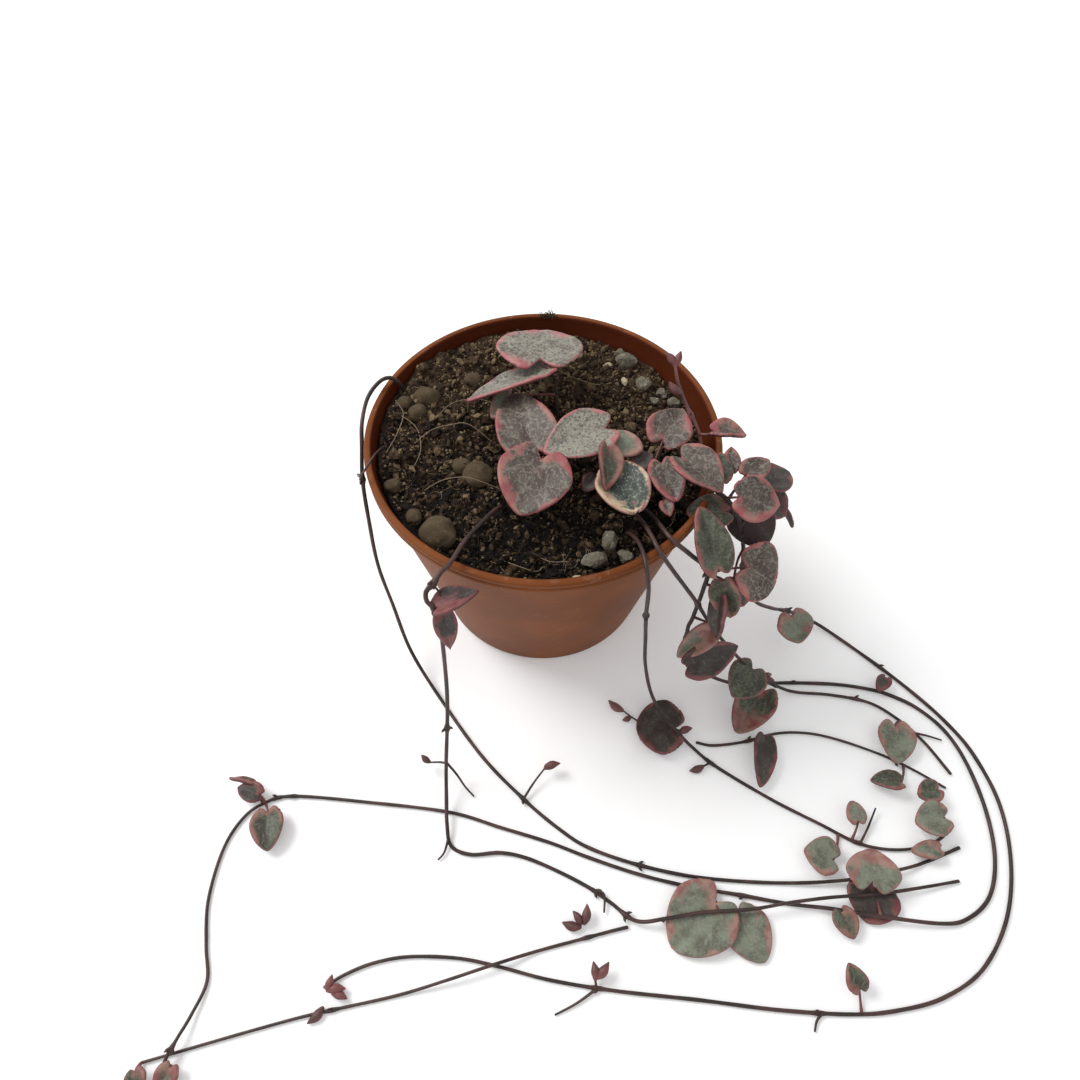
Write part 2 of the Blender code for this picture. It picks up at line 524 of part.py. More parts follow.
def blade_mesh(name, length, width, fold):
    shape = bmesh.new()
    bmesh.ops.create_grid(shape, x_segments=LEAF_COLUMNS, y_segments=LEAF_ROWS, size=1.0)
    for vertex in shape.verts:
        u = (vertex.co.y + 1) / 2
        vertex.co = leaf_point(u, vertex.co.x, length, width, fold) * MM
    bmesh.ops.remove_doubles(shape, verts=shape.verts, dist=0.02 * MM)
    return mesh_from_bmesh(name, shape)


def nearest_on(route, place):
    return min(route, key=lambda point: (point - place).length)


def make_leaf(name, row, routes, parts, cutters, materials):
    stem, base, tip, facing, width, fold, material = row
    base, tip, facing = Vector(base), Vector(tip), Vector(facing)
    route, stem_radius = routes[stem]
    turn = leaf_frame(base, tip, facing)
    length = (tip - base).length
    leaf = add_object(name, blade_mesh(name, length, width, fold), parts, materials[material])
    leaf.matrix_world = Matrix.Translation(base * MM) @ turn
    thicken = leaf.modifiers.new("thickness", "SOLIDIFY")
    thicken.thickness = LEAF_THICKNESS * MM
    thicken.offset = 0.0
    anchor = nearest_on(route, base)
    away = (base - anchor).normalized()
    start = anchor + away * (stem_radius + CLEARANCE)
    inverse = turn.inverted()
    start = inverse @ (start - base)
    end = Vector((0.0, STALK_REACH, leaf_point(STALK_REACH / length, 0.0, length, width, fold).z))
    middle = (start + end) / 2 + Vector((0.0, -0.1 * (end - start).length, 0.0))
    stalk = tube_object(f"{name}_stalk", [start, middle, end], [STALK_RADIUS] * 3, cutters)
    stalk.matrix_world = leaf.matrix_world
    mark_cutter(stalk)
    add_boolean(leaf, stalk, "UNION")


def main():
    clear_scene()
    parts = make_collection("potted_string_of_hearts")
    cutters = make_collection("cutters")
    materials = make_materials()
    make_pot(parts, cutters, materials)
    soil = make_soil(parts, materials)
    make_stones(soil, parts, cutters, materials)
    routes = make_stems(soil, parts, cutters, materials)
    for name, row in LEAVES.items():
        make_leaf(name, row, routes, parts, cutters, materials)


main()
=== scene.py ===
# %% [markdown]
# # A potted string of hearts
#
# This plant trails: thin wiry stems leave the soil, hang over the rim of a small plastic pot and wander
# over the table. Every centimetre or two a stem swells into a joint, and each joint carries a pair of
# fleshy heart-shaped leaves. We load the fixed model first. It gives each piece its place and size, and
# everything below is built around it, in the same metres and the same frame.

# %% Load the fixed model
import json
import math
import random

import bmesh
import bpy
import numpy as np
from mathutils import Matrix, Vector, noise

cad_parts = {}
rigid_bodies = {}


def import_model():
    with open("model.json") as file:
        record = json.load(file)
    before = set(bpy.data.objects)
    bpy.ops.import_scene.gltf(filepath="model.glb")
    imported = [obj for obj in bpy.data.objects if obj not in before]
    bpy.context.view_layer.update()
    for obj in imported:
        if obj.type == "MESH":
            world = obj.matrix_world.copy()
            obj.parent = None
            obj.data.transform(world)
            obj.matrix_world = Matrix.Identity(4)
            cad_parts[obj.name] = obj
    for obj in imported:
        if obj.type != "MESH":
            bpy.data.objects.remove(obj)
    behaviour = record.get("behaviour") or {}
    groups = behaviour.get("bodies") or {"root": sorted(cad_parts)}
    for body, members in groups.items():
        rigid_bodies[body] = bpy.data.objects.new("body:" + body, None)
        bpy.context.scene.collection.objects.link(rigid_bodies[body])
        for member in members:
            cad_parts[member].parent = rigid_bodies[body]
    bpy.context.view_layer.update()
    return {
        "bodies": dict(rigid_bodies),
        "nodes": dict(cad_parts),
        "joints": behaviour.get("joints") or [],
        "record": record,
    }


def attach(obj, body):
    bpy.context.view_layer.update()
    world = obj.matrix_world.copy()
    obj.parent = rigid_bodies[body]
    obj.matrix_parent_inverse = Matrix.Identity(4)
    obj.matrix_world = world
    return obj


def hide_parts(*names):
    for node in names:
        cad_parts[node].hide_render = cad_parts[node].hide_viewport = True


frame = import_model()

MM = 0.001

# %% [markdown]
# ## Camera
#
# The plant is seen from above and in front, from about a hand's length away. That close, perspective is
# strong: the rim looks much larger than the foot. A short lens near the pot gives this, and a long lens
# further off would flatten it.

# %% Camera
CAMERA_PLACE = Vector((-0.9, -154.3, 250.5)) * MM
CAMERA_TILT = 33.9          # degrees up from looking straight down
LENS = 26.0
camera_data = bpy.data.cameras.new("camera")
camera_data.sensor_width = 36.0
camera_data.lens = LENS
camera_data.clip_start = 0.01
camera = bpy.data.objects.new("camera", camera_data)
camera.location = CAMERA_PLACE
camera.rotation_euler = (math.radians(CAMERA_TILT), 0.0, 0.0)
bpy.context.scene.collection.objects.link(camera)
bpy.context.scene.camera = camera
print("camera height:", round(CAMERA_PLACE.z / MM), "mm")

# %% [markdown]
# ## Floor and light
#
# A plain pale floor and a white surround act like a light tent. One large lamp high on the left is only a
# little stronger than the surround, so the pot throws a soft, faint shadow to the right. A small lamp or a
# sun would draw hard edges under every stem.

# %% Floor and light
FLOOR_SIZE = 6.0
FLOOR_DROP = 0.02           # millimetres below the foot, so that the two faces never share a place
PAPER_WHITE = 0.93
PAPER_GLOW = 0.13           # light that comes through the paper from below, as on a light table
SURROUND_STRENGTH = 0.72
LAMP_PLACE = (-0.75, 0.35, 0.95)
LAMP_TARGET = (0.0, 0.0, 0.05)
LAMP_SIZE = 0.6
LAMP_POWER = 10.0
bpy.context.scene.view_settings.view_transform = "Standard"


def make_floor():
    mesh = bpy.data.meshes.new("floor")
    half = FLOOR_SIZE / 2
    drop = -FLOOR_DROP * MM
    mesh.from_pydata([(-half, -half, drop), (half, -half, drop), (half, half, drop), (-half, half, drop)],
                     [], [(0, 1, 2, 3)])
    floor = bpy.data.objects.new("floor", mesh)
    bpy.context.scene.collection.objects.link(floor)
    paint = bpy.data.materials.new("floor_paper")
    paint.use_nodes = True
    shader = paint.node_tree.nodes["Principled BSDF"]
    shader.inputs["Base Color"].default_value = (PAPER_WHITE, PAPER_WHITE, PAPER_WHITE, 1.0)
    shader.inputs["Roughness"].default_value = 0.9
    shader.inputs["Emission Color"].default_value = (1.0, 1.0, 1.0, 1.0)
    shader.inputs["Emission Strength"].default_value = PAPER_GLOW
    mesh.materials.append(paint)
    return floor


def make_lamp(name, place, target, size, power):
    data = bpy.data.lights.new(name, "AREA")
    data.shape = "DISK"
    data.size = size
    data.energy = power
    lamp = bpy.data.objects.new(name, data)
    lamp.location = place
    direction = Vector(target) - Vector(place)
    lamp.rotation_euler = direction.to_track_quat("-Z", "Y").to_euler()
    bpy.context.scene.collection.objects.link(lamp)
    return lamp


make_floor()
make_lamp("window_lamp", LAMP_PLACE, LAMP_TARGET, LAMP_SIZE, LAMP_POWER)
surround = bpy.data.worlds.new("surround")
surround.use_nodes = True
surround.node_tree.nodes["Background"].inputs["Color"].default_value = (1.0, 1.0, 1.0, 1.0)
surround.node_tree.nodes["Background"].inputs["Strength"].default_value = SURROUND_STRENGTH
bpy.context.scene.world = surround

# %% [markdown]
# ## Building with arrays
#
# Leaves, stems and crumbs are all shapes that follow a rule, so their points are worked out with numpy and
# handed to Blender in one go. `make_piece` turns such arrays into a smooth-shaded object, and stores what
# the materials want to know about each point, such as how far it is from a leaf's edge, as named
# attributes.

# %% A piece from arrays
def make_piece(name, points, faces, materials, attributes=None, face_slots=None, smooth=True):
    """An object from points in metres. Attributes hold one number, or three, for each point."""
    mesh = bpy.data.meshes.new(name)
    mesh.from_pydata([tuple(point) for point in points], [], faces)
    for label, values in (attributes or {}).items():
        values = np.asarray(values, dtype=np.float32)
        kind, key = ("FLOAT_VECTOR", "vector") if values.ndim == 2 else ("FLOAT", "value")
        mesh.attributes.new(label, kind, "POINT").data.foreach_set(key, values.ravel())
    for material in materials:
        mesh.materials.append(material)
    if face_slots is not None:
        mesh.polygons.foreach_set("material_index", np.asarray(face_slots, dtype=np.int32))
    if smooth:
        mesh.shade_smooth()
    piece = bpy.data.objects.new(name, mesh)
    bpy.context.scene.collection.objects.link(piece)
    return piece


def settle(piece, slot, *nodes):
    """Every piece rides on the root body, and stands for its nodes of the fixed model."""
    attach(piece, "root")
    if nodes:
        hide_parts(*nodes)
    return piece


def grid_faces(rows, columns, wrap=False, start=0):
    """Quads of a grid of points laid row after row. With wrap, each row closes into a ring."""
    faces = []
    for row in range(rows - 1):
        for column in range(columns if wrap else columns - 1):
            after = (column + 1) % columns
            a, b = start + row * columns + column, start + row * columns + after
            faces.append((a, b, b + columns, a + columns))
    return faces


print("fixed nodes:", len(frame["nodes"]))

# %% [markdown]
# ## Shading helpers
#
# A procedural finish is a small network of nodes. These helpers keep such a network readable: `add` makes a
# node and fills or links its inputs, and the others name the few steps that are used again and again.

# %% Node helpers
def add(tree, kind, outputs=0, settings=None, **inputs):
    """A new node. Each input is a socket to link or a plain value. Gives back one output socket."""
    node = tree.nodes.new(kind)
    for key, value in (settings or {}).items():
        setattr(node, key, value)
    for key, value in inputs.items():
        socket = node.inputs[int(key[1:])] if key[0] == "_" else node.inputs[key.replace("_", " ")]
        if isinstance(value, bpy.types.NodeSocket):
            tree.links.new(value, socket)
        else:
            socket.default_value = value
    return node.outputs[outputs]


def maths(tree, operation, a, b=0.0):
    return add(tree, "ShaderNodeMath", settings={"operation": operation}, _0=a, _1=b)


def step_between(tree, value, low, high):
    """0 below low, 1 above high, and a smooth step between."""
    return add(tree, "ShaderNodeMapRange", settings={"interpolation_type": "SMOOTHSTEP"},
               Value=value, From_Min=low, From_Max=high)


def cloud(tree, place, scale, detail=3.0, distortion=0.0):
    return add(tree, "ShaderNodeTexNoise", Vector=place, Scale=scale, Detail=detail, Distortion=distortion)


def blend(tree, share, a, b):
    """Colour a where share is 0, colour b where it is 1."""
    return add(tree, "ShaderNodeMix", outputs=2, settings={"data_type": "RGBA"}, _0=share, _6=a, _7=b)


def colour(red, green, blue):
    return (red, green, blue, 1.0)


def new_group(name, inputs, outputs):
    """An empty node group with named sockets: (name, kind, default) going in, (name, kind) going out."""
    group = bpy.data.node_groups.new(name, "ShaderNodeTree")
    for label, kind, default in inputs:
        socket = group.interface.new_socket(label, in_out="INPUT", socket_type=f"NodeSocket{kind}")
        if default is not None:
            socket.default_value = default
    for label, kind in outputs:
        group.interface.new_socket(label, in_out="OUTPUT", socket_type=f"NodeSocket{kind}")
    source = group.nodes.new("NodeGroupInput").outputs
    result = group.nodes.new("NodeGroupOutput").inputs
    return group, source, result


def use_group(tree, group, **inputs):
    node = tree.nodes.new("ShaderNodeGroup")
    node.node_tree = group
    for key, value in inputs.items():
        socket = node.inputs[key.replace("_", " ")]
        if isinstance(value, bpy.types.NodeSocket):
            tree.links.new(value, socket)
        else:
            socket.default_value = value
    return node.outputs


def attribute(tree, label, vector=False):
    node = tree.nodes.new("ShaderNodeAttribute")
    node.attribute_name = label
    return node.outputs["Vector" if vector else "Fac"]


def new_material(name):
    material = bpy.data.materials.new(name)
    material.use_nodes = True
    tree = material.node_tree
    return material, tree, tree.nodes["Principled BSDF"]


def place_in_mm(tree):
    """Object coordinates in millimetres, so that every scale below reads as cells per millimetre."""
    spot = add(tree, "ShaderNodeTexCoord", outputs="Object")
    return add(tree, "ShaderNodeVectorMath", settings={"operation": "SCALE"}, _0=spot, Scale=1 / MM)


print("helpers ready")

# %% [markdown]
# ## A shared effect: uneven earth tones
#
# Soil, crumbs, pebbles and pumice all show the same thing at different sizes: broad patches of tone with
# fine grains in them, and tiny pits. One node group makes it. Each material gives it three colours and two
# sizes, and uses the height that comes out for its own bump.

# %% Group: mineral_grain
def build_mineral_grain():
    group, source, result = new_group(
        "mineral_grain",
        [("Place", "Vector", None), ("Dark", "Color", colour(0.01, 0.01, 0.01)),
         ("Mid", "Color", colour(0.05, 0.04, 0.03)), ("Light", "Color", colour(0.2, 0.17, 0.13)),
         ("Patch", "Float", 0.3), ("Grain", "Float", 3.0), ("Tone", "Float", 0.5)],
        [("Color", "Color"), ("Height", "Float")])
    patch = cloud(group, source["Place"], source["Patch"], 4.0, 0.6)
    grain = cloud(group, source["Place"], source["Grain"], 5.0)
    pits = add(group, "ShaderNodeTexVoronoi", Vector=source["Place"], Scale=source["Grain"])
    shade = maths(group, "ADD", maths(group, "MULTIPLY", patch, 0.7), maths(group, "MULTIPLY", grain, 0.6))
    shade = maths(group, "ADD", shade, maths(group, "SUBTRACT", source["Tone"], 0.65))
    dark_to_mid = blend(group, step_between(group, shade, 0.25, 0.52), source["Dark"], source["Mid"])
    final = blend(group, step_between(group, shade, 0.55, 0.85), dark_to_mid, source["Light"])
    group.links.new(final, result["Color"])
    height = maths(group, "ADD", grain, maths(group, "MULTIPLY", step_between(group, pits, 0.0, 0.45), 0.5))
    group.links.new(height, result["Height"])
    return group


mineral_grain = build_mineral_grain()


def mineral_material(name, dark, mid, light, patch, grain, bump, tone=0.5, use_tone=False):
    material, tree, shader = new_material(name)
    inputs = {"Place": place_in_mm(tree), "Dark": dark, "Mid": mid, "Light": light,
              "Patch": patch, "Grain": grain}
    inputs["Tone"] = attribute(tree, "tone") if use_tone else tone
    out = use_group(tree, mineral_grain, **inputs)
    tree.links.new(out["Color"], shader.inputs["Base Color"])
    bumps = add(tree, "ShaderNodeBump", Strength=bump, Distance=0.4 * MM, Height=out["Height"])
    tree.links.new(bumps, shader.inputs["Normal"])
    shader.inputs["Roughness"].default_value = 0.92
    shader.inputs["Specular IOR Level"].default_value = 0.25
    return material


print("group:", mineral_grain.name, [s.name for s in mineral_grain.interface.items_tree])

# %% [markdown]
# ## Pot
#
# A nursery pot is blown or moulded in one thin skin of polypropylene: a tapered wall, a lip folded outwards
# for stiffness, a flat floor with drain holes and a foot with shallow slots. It is round, so it could be a
# Screw of one half section. We turn the section in code instead, because that gives the lip as many steps
# around as the close camera needs and lets us dent the foot for its slots while the points are made.

# %% Pot shell
POT_HEIGHT = 78.0
RIM_RADIUS = 52.5
BASE_RADIUS = 36.4
WALL = 1.1
LIP_WIDTH = 2.2
LIP_DEPTH = 4.2
POT_FLOOR = 1.6
POT_AROUND = 192
FOOT_SLOTS = 8
FOOT_SLOT_DEPTH = 1.0
FOOT_SLOT_HALF = 0.16       # half the width of a slot, as a share of its eighth of the circle
FOOT_SLOT_SIDE = 0.03       # the sloping side of a slot, in the same shares
DRAIN_COUNT = 6
DRAIN_RADIUS = 3.2
DRAIN_CIRCLE = 22.0
SHARP_ANGLE = 50            # degrees between two faces that makes the edge between them a crisp one
INSIDE_ROWS = 21            # rings of the section that face the soil, up to the top of the lip: they get the painted shade


def wall_radius(z):
    top = RIM_RADIUS - LIP_WIDTH + 0.3
    return BASE_RADIUS + (top - BASE_RADIUS) * z / (POT_HEIGHT - LIP_DEPTH)


def pot_section():
    """The half section from the middle of the floor's upper side, over the lip, to the middle below."""
    lip_bottom = POT_HEIGHT - LIP_DEPTH
    inside = [(0.0, POT_FLOOR), (DRAIN_CIRCLE, POT_FLOOR), (wall_radius(POT_FLOOR) - WALL - 1.6, POT_FLOOR),
              (wall_radius(2.3) - WALL - 0.4, 2.0), (wall_radius(3.2) - WALL, 3.2)]
    inside += [(wall_radius(z) - WALL, z) for z in np.linspace(8.0, lip_bottom - 1.0, 12)]
    lip_inside = RIM_RADIUS - LIP_WIDTH
    inside += [(lip_inside - 0.35, lip_bottom + 0.6), (lip_inside - 0.1, POT_HEIGHT - 1.1),
               (lip_inside, POT_HEIGHT - 0.5), (lip_inside + 0.2, POT_HEIGHT - 0.12),
               (lip_inside + 0.55, POT_HEIGHT)]
    lip = [(RIM_RADIUS - 0.6, POT_HEIGHT - 0.12), (RIM_RADIUS - 0.2, POT_HEIGHT - 0.3),
           (RIM_RADIUS, POT_HEIGHT - 0.75), (RIM_RADIUS - 0.05, POT_HEIGHT - 1.7),
           (RIM_RADIUS - 0.35, POT_HEIGHT - 2.0), (RIM_RADIUS - 0.4, POT_HEIGHT - 2.3),
           (RIM_RADIUS - 0.12, POT_HEIGHT - 2.6), (RIM_RADIUS - 0.1, lip_bottom + 0.5),
           (RIM_RADIUS - 0.45, lip_bottom), (wall_radius(lip_bottom) + 0.35, lip_bottom),
           (wall_radius(lip_bottom) + 0.05, lip_bottom - 0.25)]
    outside = [(wall_radius(z), z) for z in np.linspace(lip_bottom - 1.5, 3.0, 14)]
    outside += [(wall_radius(1.4), 1.4), (BASE_RADIUS - 0.25, 0.5), (BASE_RADIUS - 0.9, 0.05),
                (BASE_RADIUS - 1.5, 0.0), (BASE_RADIUS - 7.0, 0.0), (DRAIN_CIRCLE, 0.0), (0.0, 0.0)]
    return inside + lip + outside


def foot_lift(x, y, z, radius):
    """How far a point near the edge of the foot is lifted for a shallow water slot."""
    if z > 1.2 or radius < BASE_RADIUS - 6.5:
        return 0.0
    turn = math.atan2(y, x) * FOOT_SLOTS / (2 * math.pi)
    offset = abs(turn - math.floor(turn) - 0.5)
    share = min(1.0, max(0.0, (FOOT_SLOT_HALF - offset) / FOOT_SLOT_SIDE))
    return FOOT_SLOT_DEPTH * share * (1.0 - z / 1.6)


def make_pot(material):
    section = pot_section()
    points, faces = [], []
    for radius, z in section:
        for step in range(POT_AROUND):
            angle = 2 * math.pi * step / POT_AROUND
            x, y = radius * math.cos(angle), radius * math.sin(angle)
            points.append(Vector((x, y, z + foot_lift(x, y, z, radius))) * MM)
    faces = grid_faces(len(section), POT_AROUND, wrap=True)
    # painted shade: the rings that face the soil, up over the inner side of the lip, are marked to be
    # darkened
    inside = [1.0 if row < INSIDE_ROWS else 0.0 for row in range(len(section)) for _ in range(POT_AROUND)]
    pot = make_piece("pot_shell", points, [face[::-1] for face in faces], [material], {"inside": inside})
    shape = bmesh.new()
    shape.from_mesh(pot.data)
    bmesh.ops.remove_doubles(shape, verts=shape.verts, dist=0.001 * MM)
    bmesh.ops.recalc_face_normals(shape, faces=shape.faces)
    shape.to_mesh(pot.data)
    shape.free()
    cut_drains(pot)
    return pot


def cut_drains(pot):
    """Round drain holes in the floor, cut with one joined set of cylinders."""
    shape = bmesh.new()
    for number in range(DRAIN_COUNT):
        angle = 2 * math.pi * (number + 0.5) / DRAIN_COUNT
        spot = Vector((math.cos(angle), math.sin(angle), 0.0)) * DRAIN_CIRCLE * MM
        bmesh.ops.create_cone(shape, cap_ends=True, segments=40, radius1=DRAIN_RADIUS * MM,
                              radius2=DRAIN_RADIUS * MM, depth=8 * MM, matrix=Matrix.Translation(spot))
    mesh = bpy.data.meshes.new("drain_cutters")
    shape.to_mesh(mesh)
    shape.free()
    cutter = bpy.data.objects.new("drain_cutters", mesh)
    bpy.context.scene.collection.objects.link(cutter)
    boolean = pot.modifiers.new("drains", "BOOLEAN")
    boolean.object = cutter
    bpy.context.view_layer.update()
    evaluated = pot.evaluated_get(bpy.context.evaluated_depsgraph_get())
    cut = bpy.data.meshes.new_from_object(evaluated)
    pot.modifiers.clear()
    pot.data = cut
    bpy.data.objects.remove(cutter)
    cut.shade_smooth()
    cut.set_sharp_from_angle(angle=math.radians(SHARP_ANGLE))


# %% [markdown]
# The plastic is satin, warm brown-orange, and used: it has fine scratches that run round the wall from
# being stacked and handled, and a few pale scuffs and dots. Its colour shifts a little in broad patches, as
# recycled polymer does. Inside, down to the soil and over the inner side of the lip, a darker red-brown is
# painted in as shade.

# %% Pot plastic
def build_worn_plastic():
    group, source, result = new_group(
        "worn_plastic",
        [("Place", "Vector", None), ("Base", "Color", colour(0.2, 0.06, 0.03)),
         ("Scuff", "Color", colour(0.4, 0.25, 0.18)), ("Wear", "Float", 0.5)],
        [("Color", "Color"), ("Roughness", "Float"), ("Height", "Float")])
    place = source["Place"]
    broad = cloud(group, place, 0.045, 2.0)
    darker = add(group, "ShaderNodeMix", outputs=2, settings={"data_type": "RGBA", "blend_type": "MULTIPLY"},
                 _0=1.0, _6=source["Base"], _7=colour(0.74, 0.70, 0.66))
    base = blend(group, step_between(group, broad, 0.3, 0.7), darker, source["Base"])
    ringed = add(group, "ShaderNodeMapping", Vector=place, Scale=(0.35, 0.35, 6.0))
    rings = step_between(group, cloud(group, ringed, 0.55, 6.0), 0.57, 0.72)
    marks = step_between(group, cloud(group, place, 0.33, 6.0, 1.2), 0.63, 0.70)
    dots = step_between(group, cloud(group, place, 1.6, 2.0), 0.72, 0.78)
    worn = maths(group, "MAXIMUM", maths(group, "MULTIPLY", rings, 0.25),
                 maths(group, "MULTIPLY", marks, 0.4))
    worn = maths(group, "MULTIPLY", maths(group, "MAXIMUM", worn, maths(group, "MULTIPLY", dots, 0.5)),
                 source["Wear"])
    group.links.new(blend(group, worn, base, source["Scuff"]), result["Color"])
    rough = maths(group, "ADD", 0.42, maths(group, "MULTIPLY", worn, 0.5))
    rough = maths(group, "ADD", rough, maths(group, "MULTIPLY", broad, 0.12))
    group.links.new(rough, result["Roughness"])
    group.links.new(cloud(group, ringed, 1.4, 4.0), result["Height"])
    return group


worn_plastic = build_worn_plastic()


INSIDE_PAINTED_SHADE = 0.80         # how much of the plastic's colour the painted shade of the inside hides


def pot_plastic_material():
    material, tree, shader = new_material("pot_plastic_satin")
    out = use_group(tree, worn_plastic, Place=place_in_mm(tree), Base=colour(0.205, 0.064, 0.020),
                    Scuff=colour(0.42, 0.25, 0.17), Wear=0.5)
    # painted shade: the inside of the pot and of its lip is darkened to a deep red-brown
    painted_shade = maths(tree, "MULTIPLY", attribute(tree, "inside"), INSIDE_PAINTED_SHADE)
    tone = blend(tree, painted_shade, out["Color"], colour(0.064, 0.010, 0.004))
    tree.links.new(tone, shader.inputs["Base Color"])
    shader.inputs["Specular IOR Level"].default_value = 0.07
    tree.links.new(out["Roughness"], shader.inputs["Roughness"])
    bumps = add(tree, "ShaderNodeBump", Strength=0.08, Distance=0.2 * MM, Height=out["Height"])
    tree.links.new(bumps, shader.inputs["Normal"])
    return material


pot = settle(make_pot(pot_plastic_material()), "pot_plastic", "pot")
print("pot:", len(pot.data.polygons), "faces")

# %% [markdown]
# ## Soil
#
# The soil is peat with bark fibre. From above it reads as thousands of dark crumbs with bright specks, so a
# flat disc with a bump map looks like felt. Three layers are used instead: a lumpy surface, thousands of
# loose crumbs that catch the light one by one, and fine pale fibres on top. Soil and crumbs are painted
# paler towards the back, as painted light from behind.

# %% Soil surface
SOIL_LEVEL = 71.5
SOIL_SLOPE_X = -0.06
SOIL_SLOPE_Y = 0.035
SOIL_BUMP = 1.2
SOIL_RINGS = 84
SOIL_AROUND = 252
SOIL_GAP = 0.25             # between the soil and the wall
SOIL_MIDDLE = 40.0          # height of the ring halfway down
SOIL_CORNER = 2.5           # the bottom edge stands this far in, over the pot's rounded corner
SOIL_TONE = 0.34            # between 0, black peat, and 1, pale grit
PAINTED_LIGHT_SLOPE = 0.0036          # painted light: how much paler the soil and crumbs get per millimetre towards the back


def soil_height(x, y):
    """The surface of the fixed model's soil: a gentle slope with soft lumps."""
    lumps = noise.noise(Vector((x, y, 0.0)) / 11.0) + 0.5 * noise.noise(Vector((x, y, 9.0)) / 5.0)
    return SOIL_LEVEL + SOIL_SLOPE_X * x + SOIL_SLOPE_Y * y + SOIL_BUMP * lumps


def crumbly(x, y):
    """Clods and pits on the surface, from about 4 mm down to half a millimetre."""
    clods = 1.5 * noise.noise(Vector((x, y, 3.0)) / 3.4) + 0.9 * noise.noise(Vector((x, y, 5.0)) / 1.5)
    return clods + 0.4 * noise.noise(Vector((x, y, 7.0)) / 0.7)


def make_soil(material):
    points = []
    for ring in range(1, SOIL_RINGS + 1):
        for step in range(SOIL_AROUND):
            angle = 2 * math.pi * (step + 0.5 * (ring % 2)) / SOIL_AROUND
            reach = (wall_radius(SOIL_LEVEL + 1.0) - WALL - SOIL_GAP) * ring / SOIL_RINGS
            x, y = reach * math.cos(angle), reach * math.sin(angle)
            points.append(Vector((x, y, soil_height(x, y) + crumbly(x, y))) * MM)
    bottom = POT_FLOOR + 0.2
    for z in (SOIL_MIDDLE, bottom + 3.0, bottom):
        for step in range(SOIL_AROUND):
            angle = 2 * math.pi * step / SOIL_AROUND
            reach = wall_radius(z) - WALL - 0.3 - (SOIL_CORNER if z == bottom else 0.0)
            points.append(Vector((reach * math.cos(angle), reach * math.sin(angle), z)) * MM)
    rows = SOIL_RINGS + 3
    faces = grid_faces(rows, SOIL_AROUND, wrap=True)
    top, under = len(points), len(points) + 1
    points += [Vector((0.0, 0.0, soil_height(0.0, 0.0))) * MM, Vector((0.0, 0.0, bottom)) * MM]
    last = (rows - 1) * SOIL_AROUND
    for step in range(SOIL_AROUND):
        after = (step + 1) % SOIL_AROUND
        faces.append((top, after, step)[::-1])
        faces.append((under, last + step, last + after)[::-1])
    # painted light: the tone rises towards the back, where the light from behind falls
    tones = [SOIL_TONE + PAINTED_LIGHT_SLOPE * point[1] / MM for point in points]
    return make_piece("soil_surface", points, [face[::-1] for face in faces], [material], {"tone": tones})


peat = mineral_material("peat", colour(0.005, 0.003, 0.002), colour(0.058, 0.034, 0.018),
                        colour(0.25, 0.18, 0.10), 0.5, 2.6, 0.9, use_tone=True)
soil = settle(make_soil(peat), "potting_soil", "soil")
print("soil:", len(soil.data.polygons), "faces")

# %% [markdown]
# A crumb is a ball with its corners pushed in and out at random. Each one gets a `tone` of about 0.2 to
# 1.3, and the material turns that tone into black peat, brown bark or pale grit. All crumbs are one mesh,
# because thousands of small objects would be slow to handle and no easier to read.

# %% Loose crumbs
CRUMB_COUNT = 9000
CRUMB_REACH = 48.0
CRUMB_SIZE = 0.30
LARGEST_CRUMB = 1.7
GRIT_TONE = 0.8             # from this tone on a crumb is a pale grain, and stays small
LARGEST_GRIT = 0.42


def ball(subdivisions):
    shape = bmesh.new()
    bmesh.ops.create_icosphere(shape, subdivisions=subdivisions, radius=1.0)
    points = np.array([vertex.co[:] for vertex in shape.verts])
    faces = np.array([[vertex.index for vertex in face.verts] for face in shape.faces])
    shape.free()
    return points, faces


def random_turn(pick):
    """A random rotation as a 3 by 3 array."""
    axis = Vector((pick.gauss(0, 1), pick.gauss(0, 1), pick.gauss(0, 1))).normalized()
    return np.array(Matrix.Rotation(pick.uniform(0, 2 * math.pi), 3, axis))


def crumb_tone(pick):
    """Mostly dark peat, some brown bark, now and then a pale grain."""
    draw = pick.random()
    if draw < 0.42:
        return pick.uniform(0.25, 0.48)
    if draw < 0.91:
        return pick.uniform(0.48, 0.78)
    return pick.uniform(0.9, 1.3)


def make_crumbs(material):
    pick = random.Random(7)
    base_points, base_faces = ball(1)
    all_points, all_faces, tones = [], [], []
    for number in range(CRUMB_COUNT):
        reach = CRUMB_REACH * math.sqrt(pick.random())
        angle = pick.uniform(0, 2 * math.pi)
        x, y = reach * math.cos(angle), reach * math.sin(angle)
        size = min(LARGEST_CRUMB, CRUMB_SIZE * math.exp(pick.gauss(0.3, 0.55)))
        stretch = np.array([pick.uniform(0.6, 1.5), pick.uniform(0.6, 1.2), pick.uniform(0.5, 1.0)])
        dents = 1.0 + 0.28 * np.array([pick.gauss(0, 1) for _ in base_points])[:, None]
        # painted light: the crumbs too are paler towards the back
        tone = crumb_tone(pick) + PAINTED_LIGHT_SLOPE * y
        if tone > GRIT_TONE:
            size = min(size, LARGEST_GRIT)
        points = (base_points * dents * stretch) @ random_turn(pick).T * size
        points += np.array([x, y, soil_height(x, y) + crumbly(x, y) + 0.5 * size])
        all_faces.append(base_faces + number * len(base_points))
        all_points.append(points * MM)
        tones += [tone] * len(base_points)
    points = np.concatenate(all_points)
    faces = np.concatenate(all_faces).tolist()
    return make_piece("soil_crumbs", points, faces, [material], {"tone": tones}, smooth=False)


